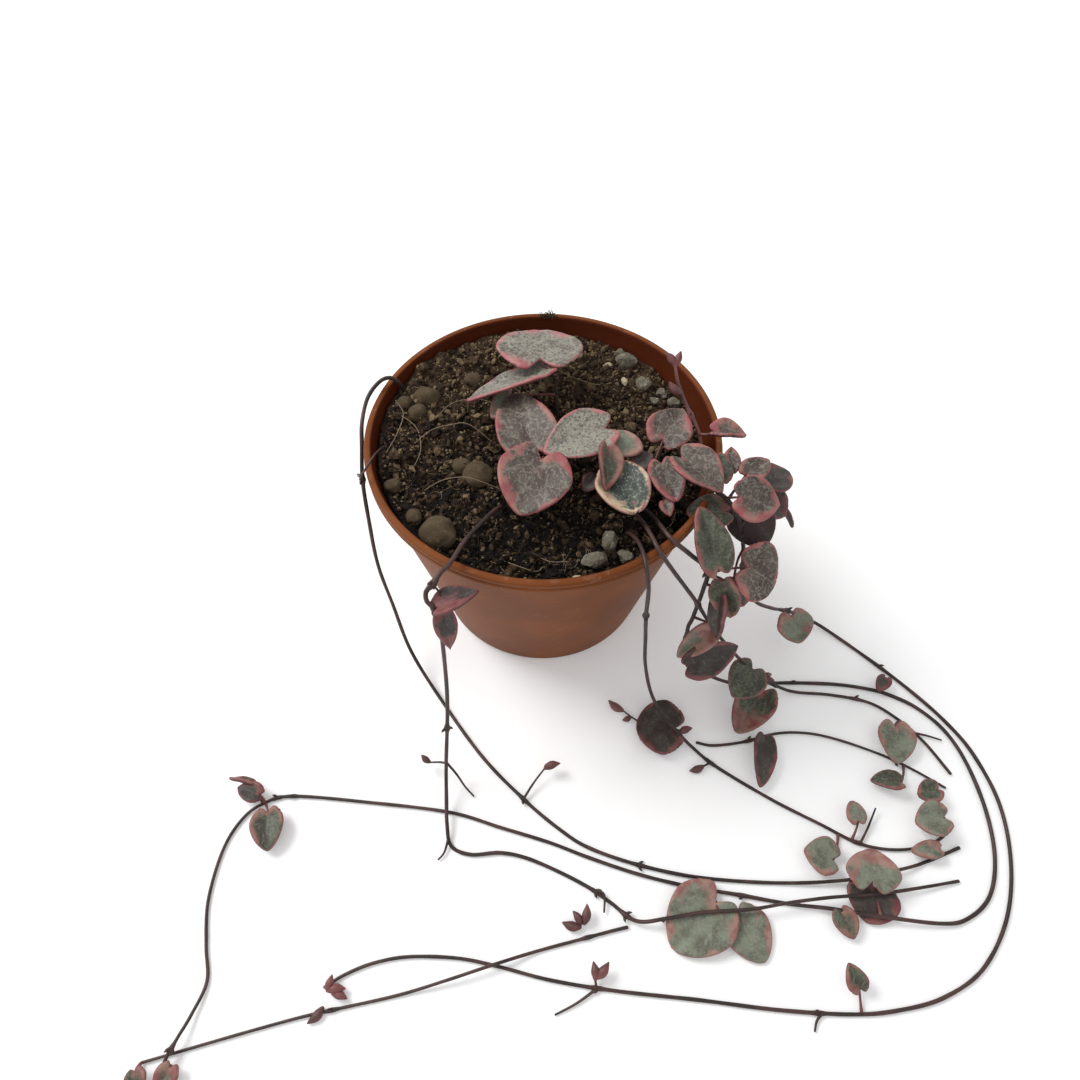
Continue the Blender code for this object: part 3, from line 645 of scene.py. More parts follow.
crumbs = settle(make_crumbs(peat), "potting_soil")
print("crumbs:", CRUMB_COUNT, "in", len(crumbs.data.polygons), "faces")

# %% [markdown]
# ## Tubes
#
# Stems, stalks, twigs and fibres are all tubes along a smooth line. A curve with a bevel would do, but a
# stem's joints need a radius that changes every millimetre, and a leaf's stalk has to be in one mesh with
# its blade. So one function sweeps a ring along a Catmull-Rom line, turning the ring as little as it can
# from one point to the next, and closes both ends with a short cone.

# %% Sweep a ring along a line
def smooth_route(points, spacing):
    """Points spaced along a Catmull-Rom curve through the given points (in millimetres)."""
    points = [Vector(point) for point in points]
    ends = [2 * points[0] - points[1]] + points + [2 * points[-1] - points[-2]]
    route = []
    for i in range(1, len(ends) - 2):
        a, b, c, d = ends[i - 1:i + 3]
        pieces = max(1, round((c - b).length / spacing))
        for piece in range(pieces):
            t = piece / pieces
            route.append(0.5 * (2 * b + (c - a) * t + (2 * a - 5 * b + 4 * c - d) * t * t
                                + (3 * b - a - 3 * c + d) * t ** 3))
    return route + [points[-1]]


def sweep(route, radii, sides):
    """Points and faces of a closed tube, in the route's own units."""
    points, normal = [], None
    count = len(route)
    for i in range(count):
        along = (route[min(i + 1, count - 1)] - route[max(i - 1, 0)]).normalized()
        if normal is None:
            normal = along.orthogonal().normalized()
        normal = (normal - normal.dot(along) * along).normalized()
        across = along.cross(normal)
        for side in range(sides):
            angle = 2 * math.pi * side / sides
            points.append(route[i] + radii[i] * (math.cos(angle) * normal + math.sin(angle) * across))
    faces = grid_faces(count, sides, wrap=True)
    first, last = len(points), len(points) + 1
    points.append(route[0] - (route[1] - route[0]).normalized() * radii[0] * 0.4)
    points.append(route[-1] + (route[-1] - route[-2]).normalized() * radii[-1] * 0.6)
    base = (count - 1) * sides
    for side in range(sides):
        after = (side + 1) % sides
        faces.append((first, after, side))
        faces.append((last, base + side, base + after))
    return points, faces


def above_floor(points):
    """The same points in metres, with anything that dips into the floor laid on it."""
    return [Vector((point.x, point.y, max(point.z, 0.0))) * MM for point in points]


def merge(parts):
    """Joins (points, faces) lists into one."""
    points, faces = [], []
    for part_points, part_faces in parts:
        start = len(points)
        points += list(part_points)
        faces += [tuple(index + start for index in face) for face in part_faces]
    return points, faces


print("tube of 10 rings:", len(sweep([Vector((0, 0, i)) for i in range(10)], [1.0] * 10, 8)[1]), "faces")

# %% [markdown]
# ## Fibres on the soil
#
# Peat is full of fine roots and threads of coir. Most are a tenth of a millimetre thick, curl at random and
# lie on the crumbs. A few longer ones arc clear of the surface. They are pale, so they show as bright
# scribbles. A small tuft of moss threads has grown over the lip at the back.

# %% Fibres
FIBRE_COUNT = 260
FIBRE_REACH = 47.0
FIBRE_STEP = 0.9
FIBRE_LIFT = 0.25
POT_INSIDE = 48.5           # no fibre runs on past this radius
LONG_FIBRE_RADIUS = 0.11
MOSS_RADIUS = 0.12
MOSS_THREADS = 60           # a tuft that has grown over the lip at the back
MOSS_PLACE = (1.8, 50.6, 78.2)
LONG_FIBRES = [
    [(-34, -18, 0.3), (-29, -16, 3.0), (-23, -15.5, 4.4), (-18, -16, 3.4), (-12, -17, 0.6)],
    [(-38, -2, 0.8), (-33, 1.5, 3.6), (-27, 3, 5.0), (-22, 3, 4.2), (-15, 0, 0.6)],
    [(-33, 8, 0.5), (-28, 13, 2.0), (-20, 15, 2.6), (-13, 13, 2.0), (-8, 9, 0.8)],
    [(-45, 14, 1.5), (-42, 8, 3.0), (-43, 0, 3.0), (-46, -6, 1.5)],
    [(-44, 10, 0.5), (-38, 4, 1.4), (-36, -4, 1.2), (-38, -11, 0.2)],
    [(-12, -40, 0.6), (-7, -43, 1.8), (-2, -44, 1.4), (0, -42, 0.4)],
    [(-3, -38, 0.4), (2, -41, 1.5), (7, -40, 0.6)],
    [(6, 30, 0.5), (10, 26, 2.0), (17, 24, 1.6), (22, 26, 0.3)],
    [(32, -30, 0.4), (36, -28, 1.8), (38, -23, 1.2)],
]


def make_fibres(material):
    pick = random.Random(21)
    parts, tones = [], []
    for _ in range(FIBRE_COUNT):
        reach = FIBRE_REACH * math.sqrt(pick.random())
        angle = pick.uniform(0, 2 * math.pi)
        x, y = reach * math.cos(angle), reach * math.sin(angle)
        heading, bend = pick.uniform(0, 2 * math.pi), pick.gauss(0, 0.35)
        route = []
        for _ in range(pick.randint(4, 9)):
            height = soil_height(x, y) + crumbly(x, y) + FIBRE_LIFT + 0.3 * pick.random()
            route.append(Vector((x, y, height)))
            heading += bend + pick.gauss(0, 0.25)
            x, y = x + FIBRE_STEP * math.cos(heading), y + FIBRE_STEP * math.sin(heading)
            if math.hypot(x, y) > POT_INSIDE:
                break
        if len(route) < 3:
            continue
        radius = pick.uniform(0.035, 0.08)
        parts.append(sweep(route, [radius] * len(route), 4))
        tones += [pick.uniform(0.4, 1.0)] * len(parts[-1][0])
    for line in LONG_FIBRES:
        route = smooth_route([(x, y, soil_height(x, y) + lift) for x, y, lift in line], 0.8)
        parts.append(sweep(route, [LONG_FIBRE_RADIUS] * len(route), 5))
        tones += [0.95] * len(parts[-1][0])
    for _ in range(MOSS_THREADS):
        start = Vector(MOSS_PLACE) + Vector((pick.gauss(0, 1.0), pick.gauss(0, 0.4), -0.3))
        lean = Vector((pick.gauss(0, 0.8), pick.gauss(0, 0.7), pick.uniform(0.2, 1.6)))
        bend = Vector((pick.gauss(0, 0.5), pick.gauss(0, 0.5), 0.0))
        route = smooth_route([start, start + lean * 0.5 + bend, start + lean], 0.3)
        parts.append(sweep(route, [MOSS_RADIUS] * len(route), 4))
        tones += [pick.uniform(0.2, 0.75)] * len(parts[-1][0])
    points, faces = merge(parts)
    return make_piece("soil_fibres", [point * MM for point in points], faces, [material], {"tone": tones})


fibre = mineral_material("coir_fibre", colour(0.02, 0.014, 0.009), colour(0.085, 0.060, 0.036),
                         colour(0.27, 0.21, 0.14), 0.4, 1.5, 0.2, use_tone=True)
fibres = settle(make_fibres(fibre), "potting_soil")
print("fibres:", len(fibres.data.polygons), "faces")

# %% [markdown]
# ## Stones
#
# Three kinds lie in the soil. Brown clay pebbles are fired balls, nearly round, dull, with fine pores and
# dust. Grey pumice is broken rock, with flat faces and rough pits, and so are three chips of cream
# limestone. Each starts as a fine ball. The clay gets soft bulges only, and the rock is first cut flat by a
# few planes and then roughened. The last value of a row is the stone of the fixed model that it stands for.

# %% Stones
CLAY, GREY, CREAM = "clay", "grey", "cream"
FLAT_FACES = 11             # planes that cut a piece of rock
STONES = {
    "pebble_clay_large": ((-29, -33, 1.2), (5.3, 4.8, 4.4), CLAY, "stone_clay_large"),
    "pebble_clay_back": ((-36, 17, 1.0), (4.2, 3.2, 3.2), CLAY, "stone_clay_back"),
    "pebble_clay_middle": ((-19, -12, 0.0), (4.6, 4.2, 3.6), CLAY, "stone_clay_middle"),
    "pebble_grey_back": ((27, 35, 1.5), (3.5, 3.1, 2.9), GREY, "stone_grey_back"),
    "pebble_grey_corner": ((32, 26, 0.8), (2.8, 2.6, 2.4), GREY, "stone_grey_corner"),
    "pebble_grey_front": ((14, -40, 1.2), (3.6, 3.1, 3.0), GREY, "stone_grey_front"),
    "pebble_grey_tall": ((18.5, -34, 1.5), (2.5, 3.0, 3.2), GREY, "stone_grey_tall"),
    "pebble_clay_low": ((-38, 10.5, 0.8), (3.0, 2.7, 2.6), CLAY, None),
    "pebble_clay_edge": ((-42.5, 14, 0.5), (2.2, 2.0, 1.9), CLAY, None),
    "pebble_clay_left": ((-43, -17, 0.8), (2.5, 2.1, 2.0), CLAY, None),
    "pebble_clay_small": ((-36, -28, 0.8), (2.2, 2.4, 1.9), CLAY, None),
    "pebble_clay_sunk": ((-22, 26, -0.4), (3.0, 2.8, 2.4), CLAY, None),
    "pebble_clay_sunk_front": ((-24, -8.5, -0.2), (3.0, 2.8, 2.4), CLAY, None),
    "pebble_grey_low": ((22.5, -38.5, 0.6), (2.4, 2.2, 2.0), GREY, None),
    "pebble_grey_rim": ((38, 23, 0.2), (2.0, 1.9, 1.7), GREY, None),
    "pebble_grey_edge": ((41, 18.5, 0.7), (2.3, 2.0, 1.9), GREY, None),
    "pebble_grey_far": ((25.6, 39, 0.8), (2.0, 1.8, 1.7), GREY, None),
    "pebble_grey_inner": ((35.5, 19.5, 0.5), (1.9, 1.7, 1.6), GREY, None),
    "pebble_cream_back": ((21, 34, 0.8), (1.6, 1.1, 0.9), CREAM, None),
    "pebble_cream_side": ((26, 27, 0.8), (1.1, 1.7, 0.9), CREAM, None),
    "pebble_cream_front": ((9, -45, 0.3), (1.5, 1.1, 0.9), CREAM, None),
}

clay = mineral_material("fired_clay", colour(0.022, 0.015, 0.009), colour(0.080, 0.056, 0.031),
                        colour(0.185, 0.145, 0.09), 0.22, 3.2, 0.45, tone=0.58)
pumice = mineral_material("pumice", colour(0.03, 0.027, 0.02), colour(0.145, 0.128, 0.094),
                          colour(0.33, 0.31, 0.25), 0.5, 2.2, 0.8, tone=0.62)
limestone = mineral_material("limestone_chip", colour(0.12, 0.09, 0.05), colour(0.42, 0.34, 0.22),
                             colour(0.62, 0.55, 0.42), 0.6, 2.0, 0.3, tone=0.62)
STONE_FINISH = {CLAY: (clay, "stone_clay"), GREY: (pumice, "stone_grey"), CREAM: (limestone, "stone_grey")}


def stone_points(kind, sizes, pick):
    """A ball shaped like fired clay or like broken rock, in millimetres."""
    points, faces = ball(5)
    seed = Vector((pick.uniform(0, 50), pick.uniform(0, 50), pick.uniform(0, 50)))
    if kind != CLAY:
        for _ in range(FLAT_FACES):
            facing = np.array([pick.gauss(0, 1), pick.gauss(0, 1), pick.gauss(0, 1)])
            facing /= np.linalg.norm(facing)
            beyond = np.maximum(points @ facing - pick.uniform(0.62, 0.85), 0.0)
            points = points - beyond[:, None] * facing * 0.9
    bulge, dent, pit = (0.15, 0.028, 0.014) if kind == CLAY else (0.18, 0.05, 0.03)
    for i, point in enumerate(points):
        spot = Vector(point)
        swell = bulge * noise.noise(spot * 1.3 + seed)
        swell += dent * noise.noise(spot * 9.0 + seed)
        swell += pit * noise.noise(spot * 22.0 + seed)
        points[i] = point * (1.0 + swell)
    return points * np.array(sizes), faces.tolist()


def make_stones():
    pick = random.Random(3)
    for name, (place, sizes, kind, node) in STONES.items():
        x, y, above = place
        points, faces = stone_points(kind, sizes, pick)
        material, slot = STONE_FINISH[kind]
        stone = make_piece(name, points * MM, faces, [material])
        stone.location = Vector((x, y, soil_height(x, y) + above)) * MM
        settle(stone, slot, *([node] if node else []))


make_stones()
print("stones:", len(STONES))

# %% [markdown]
# ## Stem routes
#
# Each stem is a list of given points along its middle. They are the same points that the fixed model
# uses, so the fine stems lie where the plain tubes did: through the soil, over the rim, down beside the pot
# and along the table, with a low hump where one stem crosses another.

# %% Stem routes
STEMS = {
    "stem_left": (0.68, 0.55, [
        (-42.5, 19.5, 66), (-43, 19.8, 72), (-44.2, 20.1, 77.4), (-46.6, 19.9, 80.2), (-49.8, 18.2, 80.2),
        (-53, 13.2, 78.6), (-54, 5, 77), (-54, -1, 73.5), (-54.4, -8, 65.5), (-54, -14, 54),
        (-53, -21, 38), (-50, -27, 22), (-45, -37, 8), (-35, -51, 1.4), (-20, -71, 0.9), (-6, -85, 0.8),
        (5, -94, 0.7), (14, -99.5, 0.7), (29, -104.5, 0.7), (47, -108, 0.7), (70, -109.5, 0.7),
        (90, -109, 2.4), (107, -106, 2.2), (116, -103.5, 0.7), (127, -99.5, 0.7)]),
    "stem_front": (0.72, 0.5, [
        (-8, -20, 64), (-11, -23, 71), (-13, -26, 75), (-20, -38, 79), (-24, -48, 81.5), (-26, -50.8, 82),
        (-27.8, -53.9, 81.4), (-29.6, -55.6, 80.2), (-29.4, -57.5, 78.6), (-27.7, -58.4, 77),
        (-27.2, -58.7, 70), (-27.1, -59.9, 62), (-28, -66, 35), (-30, -77, 11), (-30, -86, 4),
        (-29.5, -93, 2.6), (-28, -99, 0.7), (-22, -101.5, 0.7), (-13, -101, 0.7), (-5, -102.5, 0.7),
        (5, -106.5, 0.7), (14, -111, 0.7), (20, -115, 0.7), (27, -120, 2.2), (36, -119.5, 4),
        (46, -118, 4), (60, -117.2, 4.2), (72, -115.4, 4.2), (84, -114, 4), (98, -113, 3.4),
        (112, -111, 2), (124, -109, 0.7)]),
    "stem_front_fork": (0.52, 0.42, [
        (24.5, -121.4, 0.7), (19, -122.6, 0.7), (9, -125, 0.7), (-1, -127.4, 0.7), (-10, -130, 2.2),
        (-18, -132.4, 2.9), (-27, -135, 2.2), (-40, -138.4, 0.7), (-56, -141.6, 0.7), (-66, -143.6, 0.7),
        (-80, -147, 0.7), (-97, -151.4, 0.7), (-107, -154, 0.7)]),
    "stem_outer_loop": (0.72, 0.5, [
        (14, -7, 64), (18, -7.5, 71), (24, -9, 74.5), (32, -13, 77), (40, -19, 79.5), (48, -24.5, 80.6),
        (54, -27, 74), (58, -29.5, 62), (62, -29.5, 44), (69, -28.5, 28), (78, -26, 18), (86, -22, 9),
        (97, -23, 2.5), (107, -30, 0.7), (117, -39.5, 0.7), (126, -49, 0.7), (134, -59, 0.7),
        (140, -70, 0.7), (143.5, -86, 0.7), (141.5, -103, 0.7), (135, -119, 0.7), (124, -132, 0.7),
        (111, -139, 0.7), (98, -142, 0.7), (85, -143, 0.7), (65, -142, 0.7), (43, -139.6, 0.7),
        (20, -137.4, 0.7), (2, -134.8, 0.7), (-12, -131.6, 0.7), (-24, -129.4, 0.7), (-38, -129, 0.7),
        (-48, -130.6, 0.7), (-56, -133.6, 0.7), (-61, -136.6, 0.7)]),
    "stem_inner_loop": (0.72, 0.5, [
        (28, -20, 64), (28.6, -23, 71), (31, -31, 76.4), (33.9, -38.9, 79.3), (39.8, -40.2, 73.5),
        (45.6, -40.4, 66), (45.8, -41.6, 57), (44.6, -44, 45.5), (44.2, -45.4, 37), (52, -46.6, 15),
        (62, -46, 3), (72, -45.6, 0.7), (88, -45.6, 0.7), (101, -46.2, 0.7), (111, -47.8, 0.7),
        (118, -50, 0.7), (126, -54.6, 0.7), (133, -62.4, 0.7), (137, -73, 0.7), (138.6, -88, 0.7),
        (137, -102, 0.7), (132, -113, 0.7), (124, -119, 0.7), (115, -120.6, 1.6), (95, -118.6, 3.2),
        (84, -116.8, 2.4), (72, -115.2, 0.7), (58, -112.8, 0.7), (44, -110.6, 0.7), (29, -107.2, 0.7),
        (14, -102.4, 0.7), (2, -98, 0.7), (-13, -93.6, 0.7), (-29, -89, 0.7), (-54, -86, 0.7),
        (-79, -84, 0.7), (-88, -86.4, 0.7), (-93.5, -91, 0.7), (-97.4, -100, 0.7), (-98.6, -114, 0.7),
        (-96.4, -126, 0.7), (-94, -135, 0.7), (-96, -143, 1.6), (-98, -148.5, 2.8), (-99.6, -152.5, 2.9),
        (-101, -156, 2.2)]),
    "stem_right": (0.68, 0.5, [
        (23.5, -20, 64), (24.5, -23, 71), (27, -31, 76.2), (28.9, -38, 78.9), (30.4, -42.6, 79.1),
        (34.6, -44.8, 73), (39, -45, 65), (43.6, -45.8, 57), (50, -47.2, 45), (59, -48, 30),
        (68, -48.2, 17), (76.3, -48.2, 7), (85, -49, 1.3), (98, -50, 0.7), (110, -52.6, 0.7),
        (118, -58, 0.7), (125, -66, 0.7), (131, -77, 0.7)]),
    "stem_right_low": (0.68, 0.5, [
        (23, -28, 64), (24, -31.5, 71), (25.5, -39, 77.4), (26.4, -46, 79.4), (27.4, -51.2, 75),
        (28.4, -51.4, 60), (30, -50.5, 45), (31.5, -52.5, 30), (35, -56, 15), (40, -61.5, 7.5),
        (44, -64.4, 4.3), (48.5, -68, 1.2), (56, -74.6, 0.7), (72, -85, 0.7), (86, -92.6, 0.7),
        (96, -98, 0.7), (105, -100, 0.7), (114, -99.6, 0.7), (121, -97.4, 0.7), (127, -93, 0.7)]),
    "stem_right_branch": (0.52, 0.42, [
        (50.4, -66.6, 0.7), (56, -67.6, 0.7), (66, -66.4, 0.7), (77, -63.6, 0.7), (87, -63.4, 0.7),
        (97, -65.6, 0.7), (110, -70.6, 0.7), (119, -75.4, 0.7), (128, -81.4, 0.7)]),
    "stem_upright": (0.7, 0.5, [
        (41, -13, 63), (44, -11, 70), (45.8, -8, 76), (44.5, -3.5, 82), (41.5, 1.5, 86), (38.5, 6, 91),
        (37, 9, 96)]),
    "stem_crown_back": (0.68, 0.55, [
        (4, 9, 65), (4.5, 11, 72), (4, 14, 79), (4, 16.6, 84)]),
    "stem_crown_middle": (0.68, 0.55, [
        (0, -9, 65), (-0.5, -10.5, 70), (-1, -11.5, 75), (-0.5, -12, 79)]),
    "stem_crown_right": (0.68, 0.55, [
        (12, -14, 64), (14, -14.5, 70), (17, -14.8, 75), (18, -14.5, 79)]),
}
STEM_SIDES = 10
STEM_SPACING = 0.9
fine_routes = {name: smooth_route(points, STEM_SPACING) for name, (_, _, points) in STEMS.items()}
total = sum((a - b).length for route in fine_routes.values() for a, b in zip(route, route[1:]))
print("stem in all:", round(total), "mm")

# %% [markdown]
# ## Stems
#
# A stem of this plant is a dark wire about 1.4 mm thick. Where leaves grow it has a joint: a short swelling
# with a pair of tiny pointed scales. The joints tell the eye that this is a stem and not a cable, so the
# radius along each tube gets a smooth bump at every joint, and two scales are added on its sides.

# %% Group: waxy_bark
def build_waxy_bark():
    group, source, result = new_group(
        "waxy_bark",
        [("Place", "Vector", None), ("Dark", "Color", None), ("Lit", "Color", None), ("Dust", "Color", None),
         ("Dust Share", "Float", 0.3)],
        [("Color", "Color"), ("Height", "Float")])
    place = source["Place"]
    broad = step_between(group, cloud(group, place, 0.09, 3.0), 0.42, 0.62)
    fine = step_between(group, cloud(group, place, 1.8, 4.0), 0.45, 0.7)
    base = blend(group, broad, source["Dark"], source["Lit"])
    dusty = maths(group, "MULTIPLY", fine, source["Dust Share"])
    group.links.new(blend(group, dusty, base, source["Dust"]), result["Color"])
    group.links.new(cloud(group, place, 3.0, 4.0), result["Height"])
    return group


waxy_bark = build_waxy_bark()


def bark_material(name, dark, lit, dust_share):
    material, tree, shader = new_material(name)
    out = use_group(tree, waxy_bark, Place=place_in_mm(tree), Dark=dark, Lit=lit,
                    Dust=colour(0.085, 0.066, 0.045), Dust_Share=dust_share)
    tree.links.new(out["Color"], shader.inputs["Base Color"])
    bumps = add(tree, "ShaderNodeBump", Strength=0.3, Distance=0.1 * MM, Height=out["Height"])
    tree.links.new(bumps, shader.inputs["Normal"])
    shader.inputs["Roughness"].default_value = 0.5
    return material


stem_bark = bark_material("stem_bark", colour(0.020, 0.010, 0.008), colour(0.062, 0.026, 0.022), 0.25)
young_bark = bark_material("young_bark", colour(0.10, 0.035, 0.035), colour(0.20, 0.065, 0.06), 0.35)

# %% [markdown]
# The places of the joints are a given list beside the stems. Some of them carry leaves, and at the
# others the leaves have dropped, which is common on long trails.

# %% Joints
JOINTS = {
    "stem_left": [(-54.4, -8, 65.5), (-6, -85, 1), (29, -104.5, 1)],
    "stem_front": [(-27.8, -53.9, 81.4), (-27.7, -58.4, 77), (-28, -72, 25), (15.5, -111.5, 1),
                   (24.5, -118.6, 1)],
    "stem_front_fork": [(13, -124, 1), (-58, -142, 1)],
    "stem_outer_loop": [(53, -27, 75), (61, -29.5, 52), (86, -22, 9), (117, -39.5, 1), (76, -142.6, 1),
                        (14.8, -137, 1)],
    "stem_inner_loop": [(45.7, -40.6, 65), (44.2, -45.4, 37), (85, -45.6, 1), (59, -113, 1), (-79, -84, 1),
                        (-84, -85, 1), (-99, -151, 2.9)],
    "stem_right": [(44, -46, 56.4), (77, -48.3, 6), (106, -51.6, 1)],
    "stem_right_low": [(28.8, -50.6, 60), (44, -64.4, 4.3), (54.5, -73.3, 1), (96, -98, 1)],
    "stem_right_branch": [(68, -66, 1), (114, -73, 1)],
    "stem_upright": [(45.6, -7, 77.5), (42.5, 0, 85)],
    "stem_crown_back": [(4, 16, 83)],
    "stem_crown_middle": [(-0.5, -12, 78)],
    "stem_crown_right": [(17.6, -14.6, 77.5)],
}
JOINT_SWELL = 0.75          # how much thicker the stem is at a joint, as a share of its radius
JOINT_REACH = 1.1
UNEVEN = 0.10               # how much a stem's thickness wanders
SCALE_SPREAD = 0.75
SCALE_LENGTH = 1.1
SCALE_BEND = 0.15
LOWEST_SCALE = 0.45         # no scale is pressed into the floor


def nearest_on(route, place):
    return min(range(len(route)), key=lambda i: (route[i] - place).length)


def scale_pair(route, at, radius, turn):
    """Two tiny pointed scales on opposite sides of a joint."""
    along = (route[min(at + 1, len(route) - 1)] - route[max(at - 1, 0)]).normalized()
    side = Matrix.Rotation(turn, 3, along) @ along.orthogonal().normalized()
    parts = []
    for way in (-1, 1):
        out = side * way
        start = route[at] + out * radius * 0.6
        tip = route[at] + out * (radius + SCALE_SPREAD) + along * SCALE_LENGTH
        middle = (start + tip) / 2 + out * SCALE_BEND
        if min(start.z, tip.z, middle.z) > LOWEST_SCALE:
            parts.append(sweep([start, middle, tip], [0.5, 0.42, 0.12], 6))
    return parts


def make_stem(name, material):
    root, tip, _ = STEMS[name]
    route = fine_routes[name]
    pick = random.Random(name)
    joints = [nearest_on(route, Vector(place)) for place in JOINTS[name]]
    radii = []
    for i, place in enumerate(route):
        radius = root + (tip - root) * i / (len(route) - 1)
        radius *= 0.94 + UNEVEN * noise.noise(place / 6.0)
        swell = sum(math.exp(-(((place - route[joint]).length / JOINT_REACH) ** 2)) for joint in joints)
        radius *= 1.0 + JOINT_SWELL * min(1.0, swell)
        radii.append(min(radius, max(place.z - 0.02, 0.3)))
    parts = [sweep(route, radii, STEM_SIDES)]
    for joint in joints:
        parts += scale_pair(route, joint, radii[joint], pick.uniform(0, math.pi))
    points, faces = merge(parts)
    stem = make_piece(name.replace("stem", "trail"), above_floor(points), faces, [material])
    return settle(stem, "stem_skin", name)


for stem_name in STEMS:
    young = stem_name in ("stem_upright", "stem_crown_middle", "stem_crown_right")
    make_stem(stem_name, young_bark if young else stem_bark)

# %% [markdown]
# ## One heart-shaped leaf
#
# The leaf is a thick, fleshy heart. Its base is the notch where the stalk comes in, its tip is opposite,
# and the two lobes reach back past the notch. It is worked out on a grid: `u` runs from base to tip and `v`
# from one side to the other. The grid lines crowd towards the edge, because there the blade is rounded like
# a cushion. From the distance to the edge we get that rounding, the upturned rim, and later the pink
# margin.

# %% Leaf blade
BLADE_ROWS = 24
BLADE_COLUMNS = 26
BLADE_THICKNESS = 1.15
ROUNDING = 0.8              # width of the rounded edge
WIDEST_AT = 0.3
BACK_ROUNDING = 0.46
TIP_NARROWING = 0.12
LOBE_REACH = 0.17           # how far the lobes reach back past the notch, as a share of the width
RIM_SHARE = 0.3             # width of the upturned rim, as a share of the width
ARCH = 0.04                 # height of the arch from notch to tip, as a share of the length
RIPPLE = 0.16               # small waves all over the blade
WAVE = 0.5                  # slow waves of its rim
MIDRIB_DENT = 0.28
UNDER_FULLNESS = 1.15       # the lower skin bulges this much more than the upper one


def half_width(u, pointed):
    """Half width at u as a share of the widest. Pointed is 0 for a round tip and 1 for a sharp one."""
    back = np.sqrt(np.clip(1 - ((WIDEST_AT - u) / BACK_ROUNDING) ** 2, 0, 1))
    ahead = np.clip((u - WIDEST_AT) / (1 - WIDEST_AT), 0, 1)
    front = (1 - ahead ** 1.9) ** (0.5 + 0.4 * pointed) * (1 - TIP_NARROWING * u)
    return np.where(u < WIDEST_AT, back * (1 - TIP_NARROWING * u), front)


def blade_surface(length, width, fold, cup, curl, pointed, seed):
    """The blade's middle surface (rows, columns, xyz) and each point's distance to the edge, in mm."""
    steps = np.arange(BLADE_ROWS) / BLADE_ROWS
    u = (0.5 - 0.5 * np.cos(np.pi * steps))[:, None]
    v = np.sin(np.pi / 2 * np.linspace(-1, 1, BLADE_COLUMNS + 1))[None, :]
    across = width / 2 * half_width(u, pointed) * v
    lobe = LOBE_REACH * width * np.sin(np.pi * np.abs(v)) * (1 - u) ** 2
    along = u * length - lobe
    flat = np.stack([across, along], 2)
    edge_line = np.concatenate([flat[:, 0], flat[:, -1], flat[0], [[0.0, length]]])
    gaps = np.linalg.norm(flat[:, :, None, :] - edge_line[None, None], axis=3)
    edge = gaps.min(2)
    edge[:, 0] = edge[:, -1] = edge[0] = 0.0
    slope = math.tan(math.radians(fold))
    rise = slope * (np.sqrt(across ** 2 + 1.0) - 1.0)
    rim = np.clip(1 - edge / (RIM_SHARE * width), 0, 1)
    rise = rise + cup * rim ** 2 + curl * u ** 2 + ARCH * length * np.sin(np.pi * u)
    rise = rise - MIDRIB_DENT * np.exp(-((across / 0.7) ** 2)) * (1 - u)
    for row in range(BLADE_ROWS):
        for column in range(BLADE_COLUMNS + 1):
            spot = Vector((across[row, column], along[row, column], seed * 7.0))
            wave = WAVE * rim[row, column] * noise.noise(spot / 5.0)
            rise[row, column] += RIPPLE * noise.noise(spot / 1.7) + wave
    side = across * math.cos(math.radians(fold)) * (1 - 0.06 * max(cup, 0.0) * rim)
    return np.stack([side, along, rise], 2), flat, edge


def blade_mesh(length, width, fold, cup, curl, pointed, seed):
    """Points, faces and attributes of a closed blade. Its upper and lower skins meet at the edge."""
    middle, flat, edge = blade_surface(length, width, fold, cup, curl, pointed, seed)
    normal = np.cross(np.gradient(middle, axis=1), np.gradient(middle, axis=0))
    normal /= np.maximum(np.linalg.norm(normal, axis=2, keepdims=True), 1e-9)
    share = np.clip(edge / ROUNDING, 0, 1)
    half = (BLADE_THICKNESS / 2 * np.sqrt(share * (2 - share)))[:, :, None]
    rows, columns = edge.shape
    upper = (middle + normal * half).reshape(-1, 3)
    inner = np.zeros((rows, columns), bool)
    inner[1:, 1:-1] = True
    lower = (middle - UNDER_FULLNESS * normal * half)[inner]
    top = np.arange(rows * columns).reshape(rows, columns)
    bottom = top.copy()
    bottom[inner] = rows * columns + np.arange(inner.sum())
    tip = rows * columns + int(inner.sum())
    last = middle[-1, columns // 2]
    ahead = Vector(last - middle[-2, columns // 2]).normalized()
    tip_point = np.array(Vector(last) + ahead * max(0.05, length - flat[-1, columns // 2, 1]))
    points = np.concatenate([upper, lower, tip_point[None]])
    faces = []
    for skin, flip in ((top, False), (bottom, True)):
        for row in range(rows - 1):
            for column in range(columns - 1):
                face = (skin[row, column], skin[row, column + 1],
                        skin[row + 1, column + 1], skin[row + 1, column])
                faces.append(face[::-1] if flip else face)
        for column in range(columns - 1):
            face = (skin[-1, column], skin[-1, column + 1], tip)
            faces.append(face[::-1] if flip else face)
    place = np.zeros((len(points), 3))
    place[:rows * columns, :2] = flat.reshape(-1, 2)
    place[rows * columns:tip, :2] = flat[inner]
    place[tip, 1] = length
    place[:, 2] = seed * 13.0
    distance = np.concatenate([edge.ravel(), edge[inner], [0.0]])
    under = np.concatenate([np.zeros(rows * columns), np.ones(int(inner.sum())), [0.5]])
    return points, [tuple(int(i) for i in face) for face in faces], place, distance, under


sample_points, sample_faces, *_ = blade_mesh(15.0, 15.0, 5.0, 0.5, 0.0, 0.5, 1)
print("one blade:", len(sample_points), "points", len(sample_faces), "faces")

